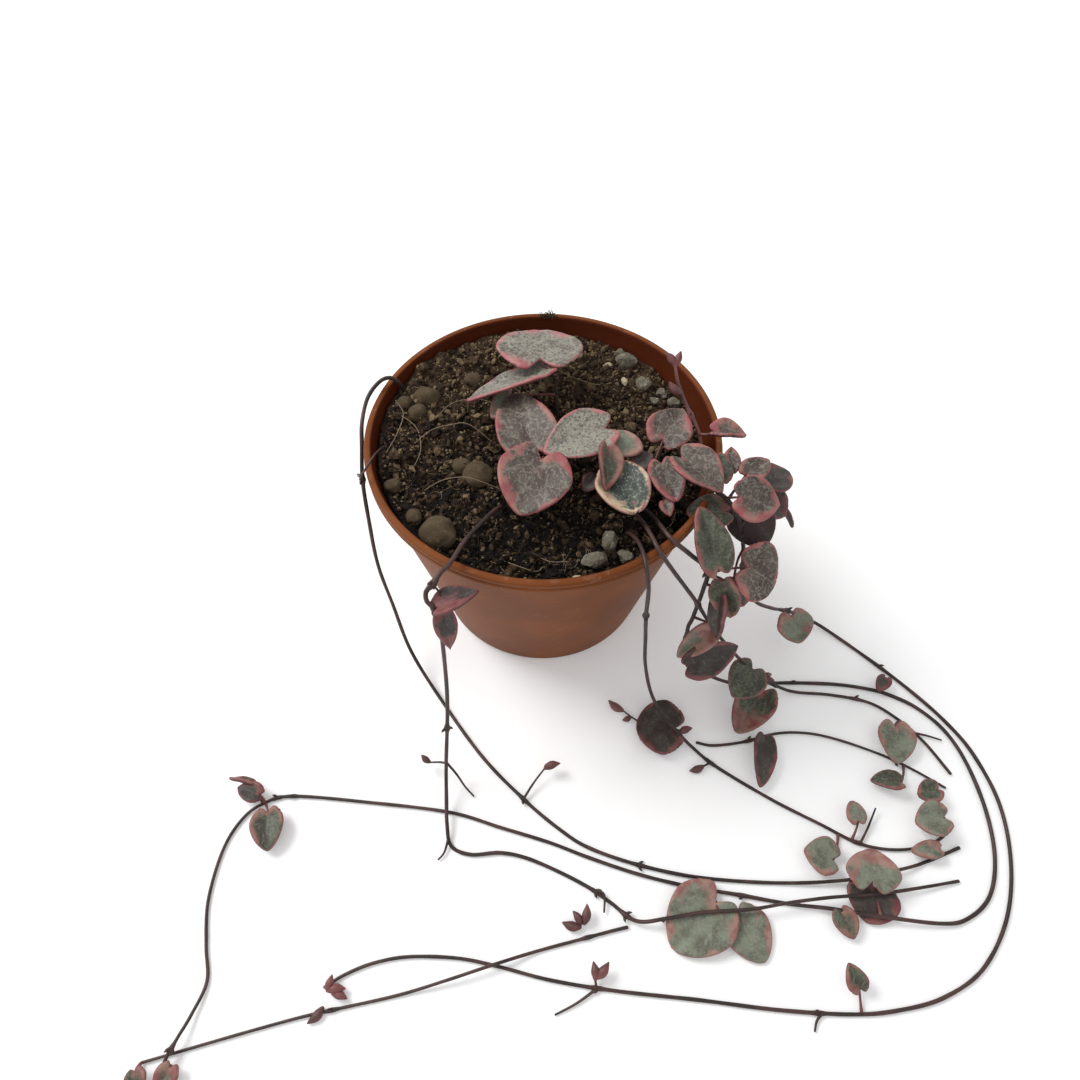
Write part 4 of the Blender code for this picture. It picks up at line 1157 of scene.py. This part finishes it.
# %% [markdown]
# ## Leaf colours
#
# The upper side has a pale, silvery net over a darker ground, and a pink margin of uneven width. The net
# follows the veins, so it is drawn from the cell walls of a Voronoi pattern that is bent by noise, with a
# few ribs that fan out from the notch. Every leaf on the plant mixes these in its own measure: some are
# nearly all silver with dark specks, some are plum with a fine net, and the youngest have a dark middle and
# a cream rim. The underside is plain and dull. One node group holds the pattern, and six finishes set its
# values.

# %% Group: variegated_blade
def build_variegated_blade():
    group, source, result = new_group(
        "variegated_blade",
        [("Place", "Vector", None), ("Edge", "Float", 1.0), ("Ground", "Color", None),
         ("Deep", "Color", None), ("Net", "Color", None), ("Margin", "Color", None),
         ("Blush", "Color", None), ("Under", "Color", None), ("Underside", "Float", 0.0),
         ("Silver", "Float", 0.5), ("Vein", "Float", 1.0), ("Speckle", "Float", 0.5),
         ("Margin Width", "Float", 1.5)],
        [("Color", "Color"), ("Height", "Float")])
    place = source["Place"]
    shift = add(group, "ShaderNodeTexNoise", outputs="Color", Vector=place, Scale=0.45, Detail=3.0)
    shift = add(group, "ShaderNodeVectorMath", settings={"operation": "MULTIPLY_ADD"},
                _0=shift, _1=(3.4, 3.4, 0.0), _2=place)
    walls = {"feature": "DISTANCE_TO_EDGE"}
    cells = add(group, "ShaderNodeTexVoronoi", settings=walls, Vector=shift, Scale=0.50)
    small = add(group, "ShaderNodeTexVoronoi", settings=walls, Vector=shift, Scale=1.25)
    net = maths(group, "SUBTRACT", 1.0, step_between(group, cells, 0.0, 0.13))
    mesh = maths(group, "SUBTRACT", 1.0, step_between(group, small, 0.0, 0.16))
    split = group.nodes.new("ShaderNodeSeparateXYZ")
    group.links.new(shift, split.inputs[0])
    ahead = maths(group, "ADD", split.outputs["Y"], 1.0)
    fan = maths(group, "MULTIPLY", maths(group, "ARCTAN2", split.outputs["X"], ahead), 1.9)
    ribs = maths(group, "ABSOLUTE", maths(group, "SUBTRACT", maths(group, "FRACT", fan), 0.5))
    ribs = maths(group, "SUBTRACT", 1.0, step_between(group, ribs, 0.0, 0.12))
    fine = cloud(group, place, 1.5, 6.0)
    broad = cloud(group, place, 0.22, 2.0)
    gaps = step_between(group, cloud(group, place, 0.75, 3.0), 0.36, 0.58)
    net = maths(group, "MULTIPLY", net, gaps)
    veins = maths(group, "ADD", maths(group, "MULTIPLY", net, 0.55), maths(group, "MULTIPLY", mesh, 0.22))
    veins = maths(group, "ADD", veins, maths(group, "MULTIPLY", ribs, 0.35))
    veins = maths(group, "MULTIPLY", veins, source["Vein"])
    pale = maths(group, "ADD", maths(group, "ADD", veins, source["Silver"]),
                 maths(group, "MULTIPLY", fine, 0.9))
    pale = step_between(group, maths(group, "ADD", pale, maths(group, "MULTIPLY", broad, 0.5)), 0.95, 1.75)
    shade = blend(group, step_between(group, broad, 0.35, 0.65), source["Deep"], source["Ground"])
    shade = blend(group, pale, shade, source["Net"])
    specks = step_between(group, cloud(group, place, 1.25, 5.0, 0.8), 0.52, 0.62)
    specks = maths(group, "MULTIPLY", specks, source["Speckle"])
    shade = blend(group, specks, shade, source["Deep"])
    reach = maths(group, "MULTIPLY", step_between(group, cloud(group, place, 0.12, 3.0), 0.40, 0.66), 2.3)
    reach = maths(group, "MULTIPLY", maths(group, "ADD", reach, 0.12), source["Margin Width"])
    tatters = maths(group, "MULTIPLY", maths(group, "SUBTRACT", fine, 0.5), 2.2)
    ragged = maths(group, "ADD", source["Edge"], tatters)
    share = maths(group, "DIVIDE", ragged, reach)
    margin = maths(group, "SUBTRACT", 1.0, step_between(group, share, 0.25, 1.45))
    tint = blend(group, step_between(group, cloud(group, place, 0.3, 4.0), 0.4, 0.62), source["Margin"],
                 source["Blush"])
    shade = blend(group, maths(group, "MULTIPLY", margin, 0.94), shade, tint)
    rim = maths(group, "SUBTRACT", 1.0, step_between(group, source["Edge"], 0.15, 0.55))
    shade = blend(group, maths(group, "MULTIPLY", rim, 0.4), shade, source["Blush"])
    below = blend(group, maths(group, "MULTIPLY", margin, 0.35), source["Under"], source["Blush"])
    below = blend(group, maths(group, "MULTIPLY", ribs, 0.18), below, source["Net"])
    shade = blend(group, source["Underside"], shade, below)
    group.links.new(shade, result["Color"])
    height = maths(group, "ADD", maths(group, "MULTIPLY", net, -0.5), maths(group, "MULTIPLY", fine, 0.5))
    group.links.new(height, result["Height"])
    return group


variegated_blade = build_variegated_blade()


def leaf_material(name, **values):
    material, tree, shader = new_material(name)
    under = step_between(tree, attribute(tree, "underside"), 0.45, 0.55)
    values["Margin_Width"] = maths(tree, "MULTIPLY", attribute(tree, "margin_share"), values["Margin_Width"])
    out = use_group(tree, variegated_blade, Place=attribute(tree, "leaf_place", vector=True),
                    Edge=attribute(tree, "edge_distance"), Underside=under, **values)
    tree.links.new(out["Color"], shader.inputs["Base Color"])
    bumps = add(tree, "ShaderNodeBump", Strength=0.35, Distance=0.12 * MM, Height=out["Height"])
    tree.links.new(bumps, shader.inputs["Normal"])
    shader.inputs["Roughness"].default_value = 0.5
    shader.inputs["Specular IOR Level"].default_value = 0.4
    return material


FINISHES = {
    "silver": leaf_material(
        "leaf_silver_skin", Ground=colour(0.146, 0.126, 0.102), Deep=colour(0.066, 0.043, 0.040),
        Net=colour(0.320, 0.307, 0.252), Margin=colour(0.44, 0.200, 0.188), Blush=colour(0.38, 0.096, 0.106),
        Under=colour(0.085, 0.036, 0.040), Silver=0.64, Vein=0.35, Speckle=0.7, Margin_Width=1.1),
    "dusk": leaf_material(
        "leaf_dusk_skin", Ground=colour(0.092, 0.072, 0.058), Deep=colour(0.064, 0.041, 0.036),
        Net=colour(0.205, 0.188, 0.150), Margin=colour(0.36, 0.160, 0.135), Blush=colour(0.31, 0.078, 0.085),
        Under=colour(0.050, 0.026, 0.027), Silver=0.26, Vein=1.0, Speckle=0.25, Margin_Width=1.1),
    "dark": leaf_material(
        "leaf_dark_skin", Ground=colour(0.060, 0.050, 0.042), Deep=colour(0.038, 0.025, 0.022),
        Net=colour(0.125, 0.115, 0.090), Margin=colour(0.22, 0.085, 0.078), Blush=colour(0.17, 0.042, 0.048),
        Under=colour(0.040, 0.019, 0.019), Silver=0.20, Vein=0.5, Speckle=0.3, Margin_Width=0.9),
    "green": leaf_material(
        "leaf_green_skin", Ground=colour(0.072, 0.080, 0.053), Deep=colour(0.044, 0.041, 0.029),
        Net=colour(0.155, 0.165, 0.115), Margin=colour(0.28, 0.150, 0.115), Blush=colour(0.24, 0.072, 0.068),
        Under=colour(0.060, 0.036, 0.033), Silver=0.32, Vein=0.6, Speckle=0.25, Margin_Width=0.9),
    "cream": leaf_material(
        "leaf_cream_skin", Ground=colour(0.052, 0.064, 0.051), Deep=colour(0.024, 0.033, 0.029),
        Net=colour(0.28, 0.30, 0.235), Margin=colour(0.60, 0.46, 0.31), Blush=colour(0.40, 0.20, 0.16),
        Under=colour(0.25, 0.13, 0.11), Silver=0.08, Vein=0.9, Speckle=0.3, Margin_Width=1.8),
    "pale": leaf_material(
        "leaf_pale_skin", Ground=colour(0.172, 0.186, 0.136), Deep=colour(0.104, 0.104, 0.076),
        Net=colour(0.250, 0.270, 0.202), Margin=colour(0.36, 0.205, 0.165), Blush=colour(0.27, 0.105, 0.095),
        Under=colour(0.16, 0.13, 0.10), Silver=0.45, Vein=0.3, Speckle=0.15, Margin_Width=0.9),
}
SLOTS = {"silver": "leaf_silver", "dusk": "leaf_plum", "dark": "leaf_plum", "green": "leaf_green",
         "cream": "leaf_cream", "pale": "leaf_green"}
print("leaf finishes:", list(FINISHES))

# %% [markdown]
# ## All the leaves
#
# Each row places one leaf: its stem, the notch, the tip, the way its upper side looks, and its width. The
# four numbers after that shape it: fold is the V along the midrib in degrees, cup lifts the rim, curl bends
# the tip, and pointed sharpens it. Then come its finish and, where its pink margin isn't of the usual
# width, the share of that width. A leaf is one object with its stalk, because it would be picked off as
# one.

# %% Leaf table
LEAVES = {
    "leaf_crown_back": ("stem_crown_back", (-0.8, 20.4, 87), (-1.8, 36.4, 85), (0.5, 0, 10), 28,
                        (4, 0.4, -1.0, 0.4), "silver", 1.2),
    "leaf_crown_edge_on": ("stem_crown_back", (1.6, 17.6, 85), (-22.4, 9.4, 79.4), (-2.5, 3.6, 8.4), 15,
                           (8, 0.5, 0.8, 0.8), "silver", 0.8),
    "leaf_crown_round": ("stem_crown_middle", (-2, -9, 80), (-10, 12.6, 80), (-1, -2, 10), 19,
                         (6, 0.6, -0.8, 0.1), "dusk", 0.8),
    "leaf_crown_right": ("stem_crown_middle", (17.6, -4.7, 84), (0, -11.5, 82), (0, -1, 10), 18,
                         (10, 0.7, -0.6, 0.7), "silver"),
    "leaf_crown_heart": ("stem_crown_middle", (-0.6, -15.2, 83), (-6.5, -31, 79), (0, -3, 10), 23,
                         (6, 0.7, -0.8, 0.5), "dusk", 1.5),
    "leaf_crown_small": ("stem_crown_right", (19.5, -8, 82), (28, -10.5, 82), (0, -1, 10), 10,
                         (4, 0.5, 0.0, 0.1), "pale"),
    "leaf_crown_folded": ("stem_crown_right", (17.4, -12.8, 85), (16.6, -25.2, 82), (5, -1, 7), 10,
                          (26, 0.6, 0.0, 0.8), "green", 1.3),
    "leaf_crown_cream": ("stem_crown_right", (20.4, -18.6, 80.5), (25, -32, 79.5), (0, -2, 10), 17.5,
                         (3, 2.0, 0.8, 0), "cream"),
    "leaf_rim_silver": ("stem_outer_loop", (34.4, -6, 81), (40.6, 3.6, 84), (0, 0, 1), 14.5,
                        (10, 0.3, -0.5, 0.8), "dusk", 0.9),
    "leaf_rim_outer": ("stem_upright", (48.6, -5.8, 84), (57.4, -7, 84), (0, 1.5, 8), 9.5,
                       (30, 0.3, 0.0, 0.9), "dusk"),
    "leaf_rim_folded": ("stem_outer_loop", (37.8, -17.4, 86), (48, -27.4, 84.5), (3, -3, 9), 15,
                        (24, 0.5, 0.0, 0.8), "dusk", 0.9),
    "leaf_rim_dark": ("stem_outer_loop", (33, -15.5, 81.5), (36, -27.5, 80), (0, -2, 10), 11,
                      (8, 0.8, 0.0, 0.2), "dusk"),
    "leaf_fall_top": ("stem_outer_loop", (52.6, -28, 83), (64.6, -27.5, 79), (2, -5, 9), 14,
                      (12, 0.4, -0.6, 0.8), "dusk", 0.9),
    "leaf_fall_right": ("stem_outer_loop", (62.5, -18.5, 77), (71, -12, 74), (3, 2, 9), 12,
                        (6, 0.4, 0, 0.6), "dark"),
    "leaf_fall_green": ("stem_inner_loop", (47.3, -42.4, 70), (41.7, -28.9, 80), (3, -5, 8), 12.5,
                        (16, 0.4, 0.6, 0.4), "green"),
    "leaf_fall_low": ("stem_inner_loop", (56.4, -39.6, 66), (65.9, -40.5, 61), (3, -5, 7), 19,
                      (12, 0.4, -0.4, 0.2), "dusk", 0.8),
    "leaf_fall_under": ("stem_outer_loop", (57.5, -23.5, 72), (63, -32.5, 66), (2, 3, -8), 15,
                        (8, 0.3, 0.0, 0.3), "dark"),
    "leaf_hang_upper": ("stem_inner_loop", (50, -42.6, 64), (54, -47.5, 52), (-3, -7, 5), 10,
                        (22, 0.4, 0, 0.6), "green"),
    "leaf_hang_right": ("stem_outer_loop", (54.7, -39.3, 60), (58.6, -42.8, 50), (1, -7, 6), 9,
                        (14, 0.4, 0, 0.3), "dark", 0.8),
    "leaf_hang_left": ("stem_inner_loop", (50.2, -48.3, 46), (40.2, -53, 37), (-5, -6, 6), 9,
                       (30, 0.4, 0, 0.5), "pale", 2.6),
    "leaf_hang_dark": ("stem_inner_loop", (43.1, -55.9, 37), (58.9, -49.3, 37), (0, -7, 8), 12,
                       (18, 0.4, 0, 0.8), "dark", 0.7),
    "leaf_floor_cup": ("stem_right", (73.1, -51.6, 7.4), (63.1, -64.5, 4), (0, 0, 1), 15,
                       (20, 0.5, 0.3, 0.3), "green", 3),
    "leaf_floor_tall": ("stem_right", (67, -49.5, 20), (60, -58, 18), (0, -4, 9), 14, (10, 0.4, 0, 0.6),
                        "green", 0.3),
    "leaf_floor_hanging": ("stem_right_branch", (72, -66.2, 4), (68.4, -82, 3), (3, 0, 9), 9,
                           (16, 0.3, 0, 0.4), "dark", 0.8),
    "leaf_floor_kidney": ("stem_right_low", (43, -63, 3.0), (31, -61, 2.2), (0, 0, 1), 20, (4, 0.3, 0, 0.0),
                          "dark"),
    "leaf_floor_rose": ("stem_outer_loop", (84.7, -27.6, 15), (87.5, -35.4, 11), (0, -1, 10), 14,
                        (10, 0.4, 0, 0.3), "pale", 4),
    "leaf_floor_pale": ("stem_right", (115.7, -62.3, 3.6), (113.8, -74.4, 3), (0, 0, 1), 13,
                        (8, 0.4, -0.5, 0.5), "pale"),
    "leaf_floor_crescent": ("stem_right_branch", (112.6, -80.6, 3.6), (103.8, -79.4, 3.6), (0, 3, 10), 8,
                            (18, 0.2, -1, 0.5), "green"),
    "leaf_floor_small": ("stem_right_branch", (123, -83, 5), (117, -85, 4), (0, 0, 1), 8, (10, 0.2, 0, 0.3),
                         "green"),
    "leaf_floor_edge": ("stem_right_low", (122, -92, 6), (114, -93, 4), (0, 0, 1), 12, (15, 0.4, 0, 0.5),
                        "pale"),
    "leaf_floor_pointed": ("stem_right_low", (86.6, -103.4, 3), (78.8, -100.6, 3), (0, 0, 1), 12.5,
                           (12, 0.3, 0, 0.6), "pale", 1.8),
    "leaf_floor_round": ("stem_right_low", (96.5, -92.5, 4), (96, -86.5, 4), (0, 0, 1), 6.5, (0, 0.4, 0, 0),
                         "pale"),
    "leaf_floor_upper": ("stem_left", (96.1, -110, 5.6), (97.8, -101.5, 7.4), (0, 0, 1), 17,
                         (6, 0.4, 0, 0.3), "pale", 2.4),
    "leaf_floor_lower": ("stem_inner_loop", (98.2, -111.1, 0.8), (94.2, -120.5, 0.8), (0, 0, 1), 16.5,
                         (3, 0.2, 0, 0.2), "dark", 2.4),
    "leaf_floor_large": ("stem_front", (50.5, -115.1, 2.2), (37, -127.2, 1), (0, 0, 1), 22,
                         (4, 0.4, -0.2, 0.2), "pale", 1.6),
    "leaf_floor_half": ("stem_front", (56.8, -118.4, 0.8), (62.7, -130.5, 0.8), (0, 0, 1), 15,
                        (3, 0.2, 0, 0.3), "pale", 1.2),
    "leaf_end_left": ("stem_inner_loop", (-85, -90, 3.5), (-83, -101, 3), (0, 0, 1), 11, (10, 0.3, 0, 0.4),
                      "green"),
    "leaf_front_top": ("stem_front", (-26.6, -58.9, 77.4), (-16.4, -54.6, 79), (-1, 1.6, 9), 9.5,
                       (24, 0.2, 0, 0.9), "dark", 3.6),
    "leaf_front_hanging": ("stem_front", (-25.6, -59, 76.6), (-24.5, -63.8, 64), (2, -7, 3.4), 7,
                           (26, 0.1, 0, 1.8), "dark", 3.6),
    "leaf_hidden_pale": ("stem_crown_back", (-9.5, 13.5, 79), (-15.5, 6.5, 76.5), (0, 0, 1), 8,
                         (5, 0.3, 0, 0.4), "pale"),
    "leaf_fall_small": ("stem_outer_loop", (56, -19.5, 82), (63, -14.5, 82), (0, -1, 10), 8,
                        (8, 0.3, 0, 0.3), "dusk"),
    "leaf_fall_bud": ("stem_outer_loop", (52, -17, 81), (52.6, -11, 84), (0, -3, 8), 6, (20, 0.2, 0, 0.8),
                      "dusk"),
    "leaf_fall_narrow": ("stem_outer_loop", (49, -20.5, 81), (49.5, -13, 84), (0, -3, 8), 7,
                         (12, 0.2, 0, 0.6), "green"),
    "leaf_fall_inner": ("stem_outer_loop", (50.4, -27.9, 76.4), (39.5, -27.7, 75.6), (0, -2, 10), 11,
                        (6, 0.3, 0, 0.3), "green"),
    "leaf_fall_red": ("stem_outer_loop", (65, -19, 70), (70.5, -22, 66), (2, -4, 9), 10, (14, 0.3, 0, 0.7),
                      "dark"),
    "leaf_fall_thin": ("stem_outer_loop", (69, -19, 68), (75, -20.5, 58), (9, 2, 3), 5, (20, 0.2, 0, 0.8),
                       "dark"),
    "leaf_hang_thin": ("stem_inner_loop", (50.5, -45, 60), (50.4, -52.4, 47), (-8, -3, 4), 8,
                       (20, 0.2, 0, 0.7), "dark"),
    "leaf_floor_dark": ("stem_inner_loop", (117, -45, 3.4), (113.5, -49.5, 2.8), (0, 0, 1), 5.5,
                        (20, 0.2, 0, 0.3), "dark"),
    "leaf_floor_last": ("stem_right_low", (119.5, -100.5, 3.2), (111, -101, 2.8), (0, 0, 1), 6,
                        (10, 0.2, 0, 0.4), "pale"),
    "leaf_floor_under": ("stem_inner_loop", (86.4, -117.6, 2.6), (88.7, -124.7, 2.3), (0, 0, 1), 8,
                         (8, 0.2, 0, 0.5), "green"),
    "leaf_near_tip": ("stem_outer_loop", (87, -137, 3.4), (84.5, -131, 6), (0, -4, 8), 7, (25, 0.2, 0, 0.8),
                      "green"),
    "leaf_end_upper": ("stem_inner_loop", (-88.5, -84.5, 4), (-96, -82, 3.4), (0, 0, 1), 7,
                       (12, 0.2, 0, 0.6), "dark"),
    "leaf_end_thin": ("stem_inner_loop", (-91, -81, 4.2), (-99, -79.5, 4.4), (0, 6, 4), 4,
                      (25, 0.1, 0, 0.9), "green"),
    "leaf_corner_right": ("stem_inner_loop", (-98, -155, 3), (-100, -161, 2.6), (0, 0, 1), 7,
                          (10, 0.2, 0, 0.5), "green"),
    "leaf_corner_left": ("stem_front_fork", (-107, -156, 3), (-105, -161, 2.6), (0, 0, 1), 6,
                         (10, 0.2, 0, 0.5), "green"),
    "leaf_crown_bud": ("stem_crown_right", (14.5, -17, 77.5), (11.5, -21, 76.5), (0, -1, 10), 6,
                       (20, 0.3, 0, 0.6), "dark"),
    "leaf_crown_purple": ("stem_outer_loop", (26, -14, 79.5), (31, -10.5, 80), (0, 0, 1), 7,
                          (6, 0.3, 0, 0.4), "dark"),
    "leaf_rim_tiny": ("stem_outer_loop", (33, -27, 79.5), (34.5, -31, 78.5), (0, -1, 8), 4.5,
                      (20, 0.2, 0, 0.8), "dusk"),
}


# %% Make the leaves
STALK_RADIUS = 0.42
STALK_SUNK = 0.25           # the stalk runs this far under the upper skin
STALK_OVERLAP = 1.5         # and this far under the blade, past the notch
FLOOR_AIR = 0.02


def leaf_frame(base, tip, facing):
    """Axes of a leaf: x across, y from notch to tip, z out of its upper side."""
    forward = (tip - base).normalized()
    upper = (facing - facing.dot(forward) * forward).normalized()
    return Matrix((forward.cross(upper), forward, upper)).transposed()


def stalk_tube(anchor, stem_radius, base, frame, surface_z):
    """A stalk from the stem to just under the notch, in the leaf's own axes."""
    away = (base - anchor).normalized()
    start = frame.transposed() @ (anchor + away * stem_radius * 0.5 - base)
    end = Vector((0.0, STALK_OVERLAP, surface_z - STALK_SUNK))
    notch = Vector((0.0, -0.3, surface_z - STALK_SUNK))
    middle = (start + notch) / 2 + Vector((0.0, -0.06, -0.05)) * (end - start).length
    route = smooth_route([start, middle, notch, end], 0.7)
    count = len(route) - 1
    radii = [STALK_RADIUS * (1.25 - 0.45 * math.sin(math.pi * i / count)) for i in range(count + 1)]
    radii[-1] = STALK_RADIUS * 0.8
    return sweep(route, radii, 8)


def make_leaf(name, row, seed):
    stem, base, tip, facing, width, shape, finish = row[:7]
    margin = row[7] if len(row) > 7 else 1.0
    base, tip = Vector(base), Vector(tip)
    frame = leaf_frame(base, tip, Vector(facing))
    length = (tip - base).length
    points, faces, place, distance, under = blade_mesh(length, width, *shape, seed)
    route = fine_routes[stem]
    anchor = route[nearest_on(route, base)]
    centre_z = float(points[BLADE_COLUMNS // 2][2])
    tube_points, tube_faces = stalk_tube(anchor, STEMS[stem][0], base, frame, centre_z)
    all_points, all_faces = merge([([Vector(point) for point in points], faces), (tube_points, tube_faces)])
    world = [(frame @ point + base) for point in all_points]
    lowest = min(point.z for point in world)
    lift = max(0.0, FLOOR_AIR - lowest)
    world = [Vector((point.x, point.y, point.z + lift)) * MM for point in world]
    extra = len(tube_points)
    attributes = {"leaf_place": np.concatenate([place, np.zeros((extra, 3))]),
                  "edge_distance": np.concatenate([distance, np.zeros(extra)]),
                  "underside": np.concatenate([under, np.zeros(extra)]),
                  "margin_share": np.full(len(place) + extra, margin)}
    slots = [0] * len(faces) + [1] * len(tube_faces)
    leaf = make_piece(name.replace("leaf", "heart"), world, all_faces, [FINISHES[finish], young_bark],
                      attributes, slots)
    return settle(leaf, SLOTS[finish], *([name] if name in frame_nodes else []))


frame_nodes = frame["nodes"]
for number, (leaf_name, leaf_row) in enumerate(LEAVES.items()):
    make_leaf(leaf_name, leaf_row, number + 1)
print("leaves:", len(LEAVES))

# %% [markdown]
# ## Twigs and buds
#
# Short side shoots grow from some joints. Most end in a pair of folded, unopened leaves no bigger than a
# grain of rice. All of them are tubes, and a bud's tube swells and tapers to a point. The shoots are joined
# into one piece and the buds into another, since each is far too small to be handled alone.

# %% Twigs and buds
TWIG_RADIUS = 0.42
TWIG_TAPER = 0.16
BUD_NECK = 0.22
TWIGS = {
    "front_ring": [(-27.7, -58.2, 77.2), (-26.2, -57, 77.6), (-26.2, -55.5, 79), (-27.5, -54.4, 81.2)],
    "left_joint": [(-6.2, -85.2, 1.2), (-3, -80.5, 2.6), (0.5, -76.3, 4)],
    "front_left": [(-29.6, -77, 11.5), (-32.5, -75.5, 8), (-35.8, -74.6, 5)],
    "front_right": [(-29.6, -77, 11.5), (-27, -79, 7), (-24.5, -81.5, 2), (-21.8, -84, 0.6)],
    "front_stub": [(-29, -97.5, 1.6), (-30, -101, 1), (-31.7, -103, 0.8)],
    "front_thin": [(15.7, -111.5, 1.2), (18, -113, 1.6), (17.8, -117.6, 1.2)],
    "dry_shoot": [(34.6, -120, 1), (39, -117, 1.6), (43.3, -113.6, 0.8)],
    "near_left": [(14.8, -137, 1), (9, -140.5, 0.8), (3.2, -143.1, 0.5)],
    "near_bud": [(14.8, -137, 1), (14.4, -134, 2.5)],
    "near_right": [(76.6, -142.6, 1), (74.6, -144.5, 0.9), (73.6, -147, 0.6)],
    "right_low_tip": [(45, -64.8, 3.4), (38, -62.8, 1.2), (31, -59, 1.3), (27, -56.4, 2.4)],
    "right_low_bud": [(54.5, -73.3, 1), (51.8, -74.6, 1.4)],
    "right_end": [(97, -98.2, 1), (100, -94, 1.6), (103.5, -88.2, 2.6)],
    "right_red": [(123.5, -63.6, 1), (127, -64.6, 1.2), (131, -66, 1.2)],
    "knot_shoot": [(-54.4, -7.4, 66), (-53.6, -12.5, 73.5), (-51, -18, 79.6), (-49, -15.3, 81.2),
                   (-47.2, -10.4, 80.8), (-45.6, -4.5, 77.5)],
}
BUDS = {
    "left_joint": [((0.5, -76.3, 4), (5.6, -74.8, 4.8)), ((0.5, -76.3, 4), (2.2, -74.6, 5.5))],
    "front_left": [((-35.8, -74.6, 5), (-38.6, -72.6, 6.5))],
    "front_fork": [((11, -121.5, 1.4), (5.4, -120.3, 2.2)), ((11.8, -120.9, 2), (12.8, -115.6, 3.5)),
                   ((11, -121, 2), (8.6, -117.4, 3))],
    "near_bud": [((14.5, -135, 2.2), (14, -130.4, 3.8)), ((14.6, -134.5, 2.4), (18.4, -130.6, 4))],
    "fork_end": [((-60, -137.4, 2), (-54.6, -137, 2.2)), ((-60, -137.2, 2.4), (-58.6, -133.6, 3.4)),
                 ((-60.4, -141.3, 1.2), (-64.3, -145.2, 1)), ((-58.5, -138, 1.4), (-54, -139.4, 1.4))],
    "right_low_bud": [((51.8, -74.6, 1.4), (47, -76.2, 1.4))],
    "right_low_tip": [((27, -56.4, 2.4), (22, -53, 3.6)), ((29.5, -58, 1.6), (26.5, -59.2, 1.2))],
    "upright_tip": [((37, 9, 95.5), (34.4, 11, 98.6)), ((37, 9, 95.5), (38.6, 11.4, 98.8)),
                    ((39.4, 4.4, 89), (35.6, 5.8, 92.4))],
    "right_low_joint": [((44.6, -64.6, 4), (49.2, -62.6, 3.2))],
    "right_loop": [((74, -46.8, 7.4), (78.6, -48.6, 4.6)), ((74, -47, 7), (77.5, -44.6, 6))],
}


def bud_tube(base, tip):
    """A folded young leaf: narrow at the stalk, fat in the middle, drawn out to a point."""
    base, tip = Vector(base), Vector(tip)
    bend = (tip - base).orthogonal().normalized() * 0.08 * (tip - base).length
    route = smooth_route([base, (base + tip) / 2 + bend, tip], 0.35)
    count = len(route) - 1
    fat = 0.16 * (tip - base).length + 0.25
    radii = [BUD_NECK + fat * math.sin(math.pi * min(1.0, 0.1 + 0.9 * i / count)) ** 1.3
             for i in range(count + 1)]
    radii[-1] = 0.08
    return sweep(route, radii, 10)


def make_twigs():
    parts = []
    for places in TWIGS.values():
        route = smooth_route(places, 0.6)
        radii = [TWIG_RADIUS - TWIG_TAPER * i / len(route) for i in range(len(route))]
        parts.append(sweep(route, radii, 8))
    points, faces = merge(parts)
    twigs = make_piece("side_twigs", above_floor(points), faces, [stem_bark])
    settle(twigs, "stem_skin")
    points, faces = merge([bud_tube(*ends) for pairs in BUDS.values() for ends in pairs])
    buds = make_piece("young_buds", above_floor(points), faces, [young_bark])
    return settle(buds, "leaf_plum")


make_twigs()
print("twigs:", len(TWIGS), "buds:", sum(len(pairs) for pairs in BUDS.values()))
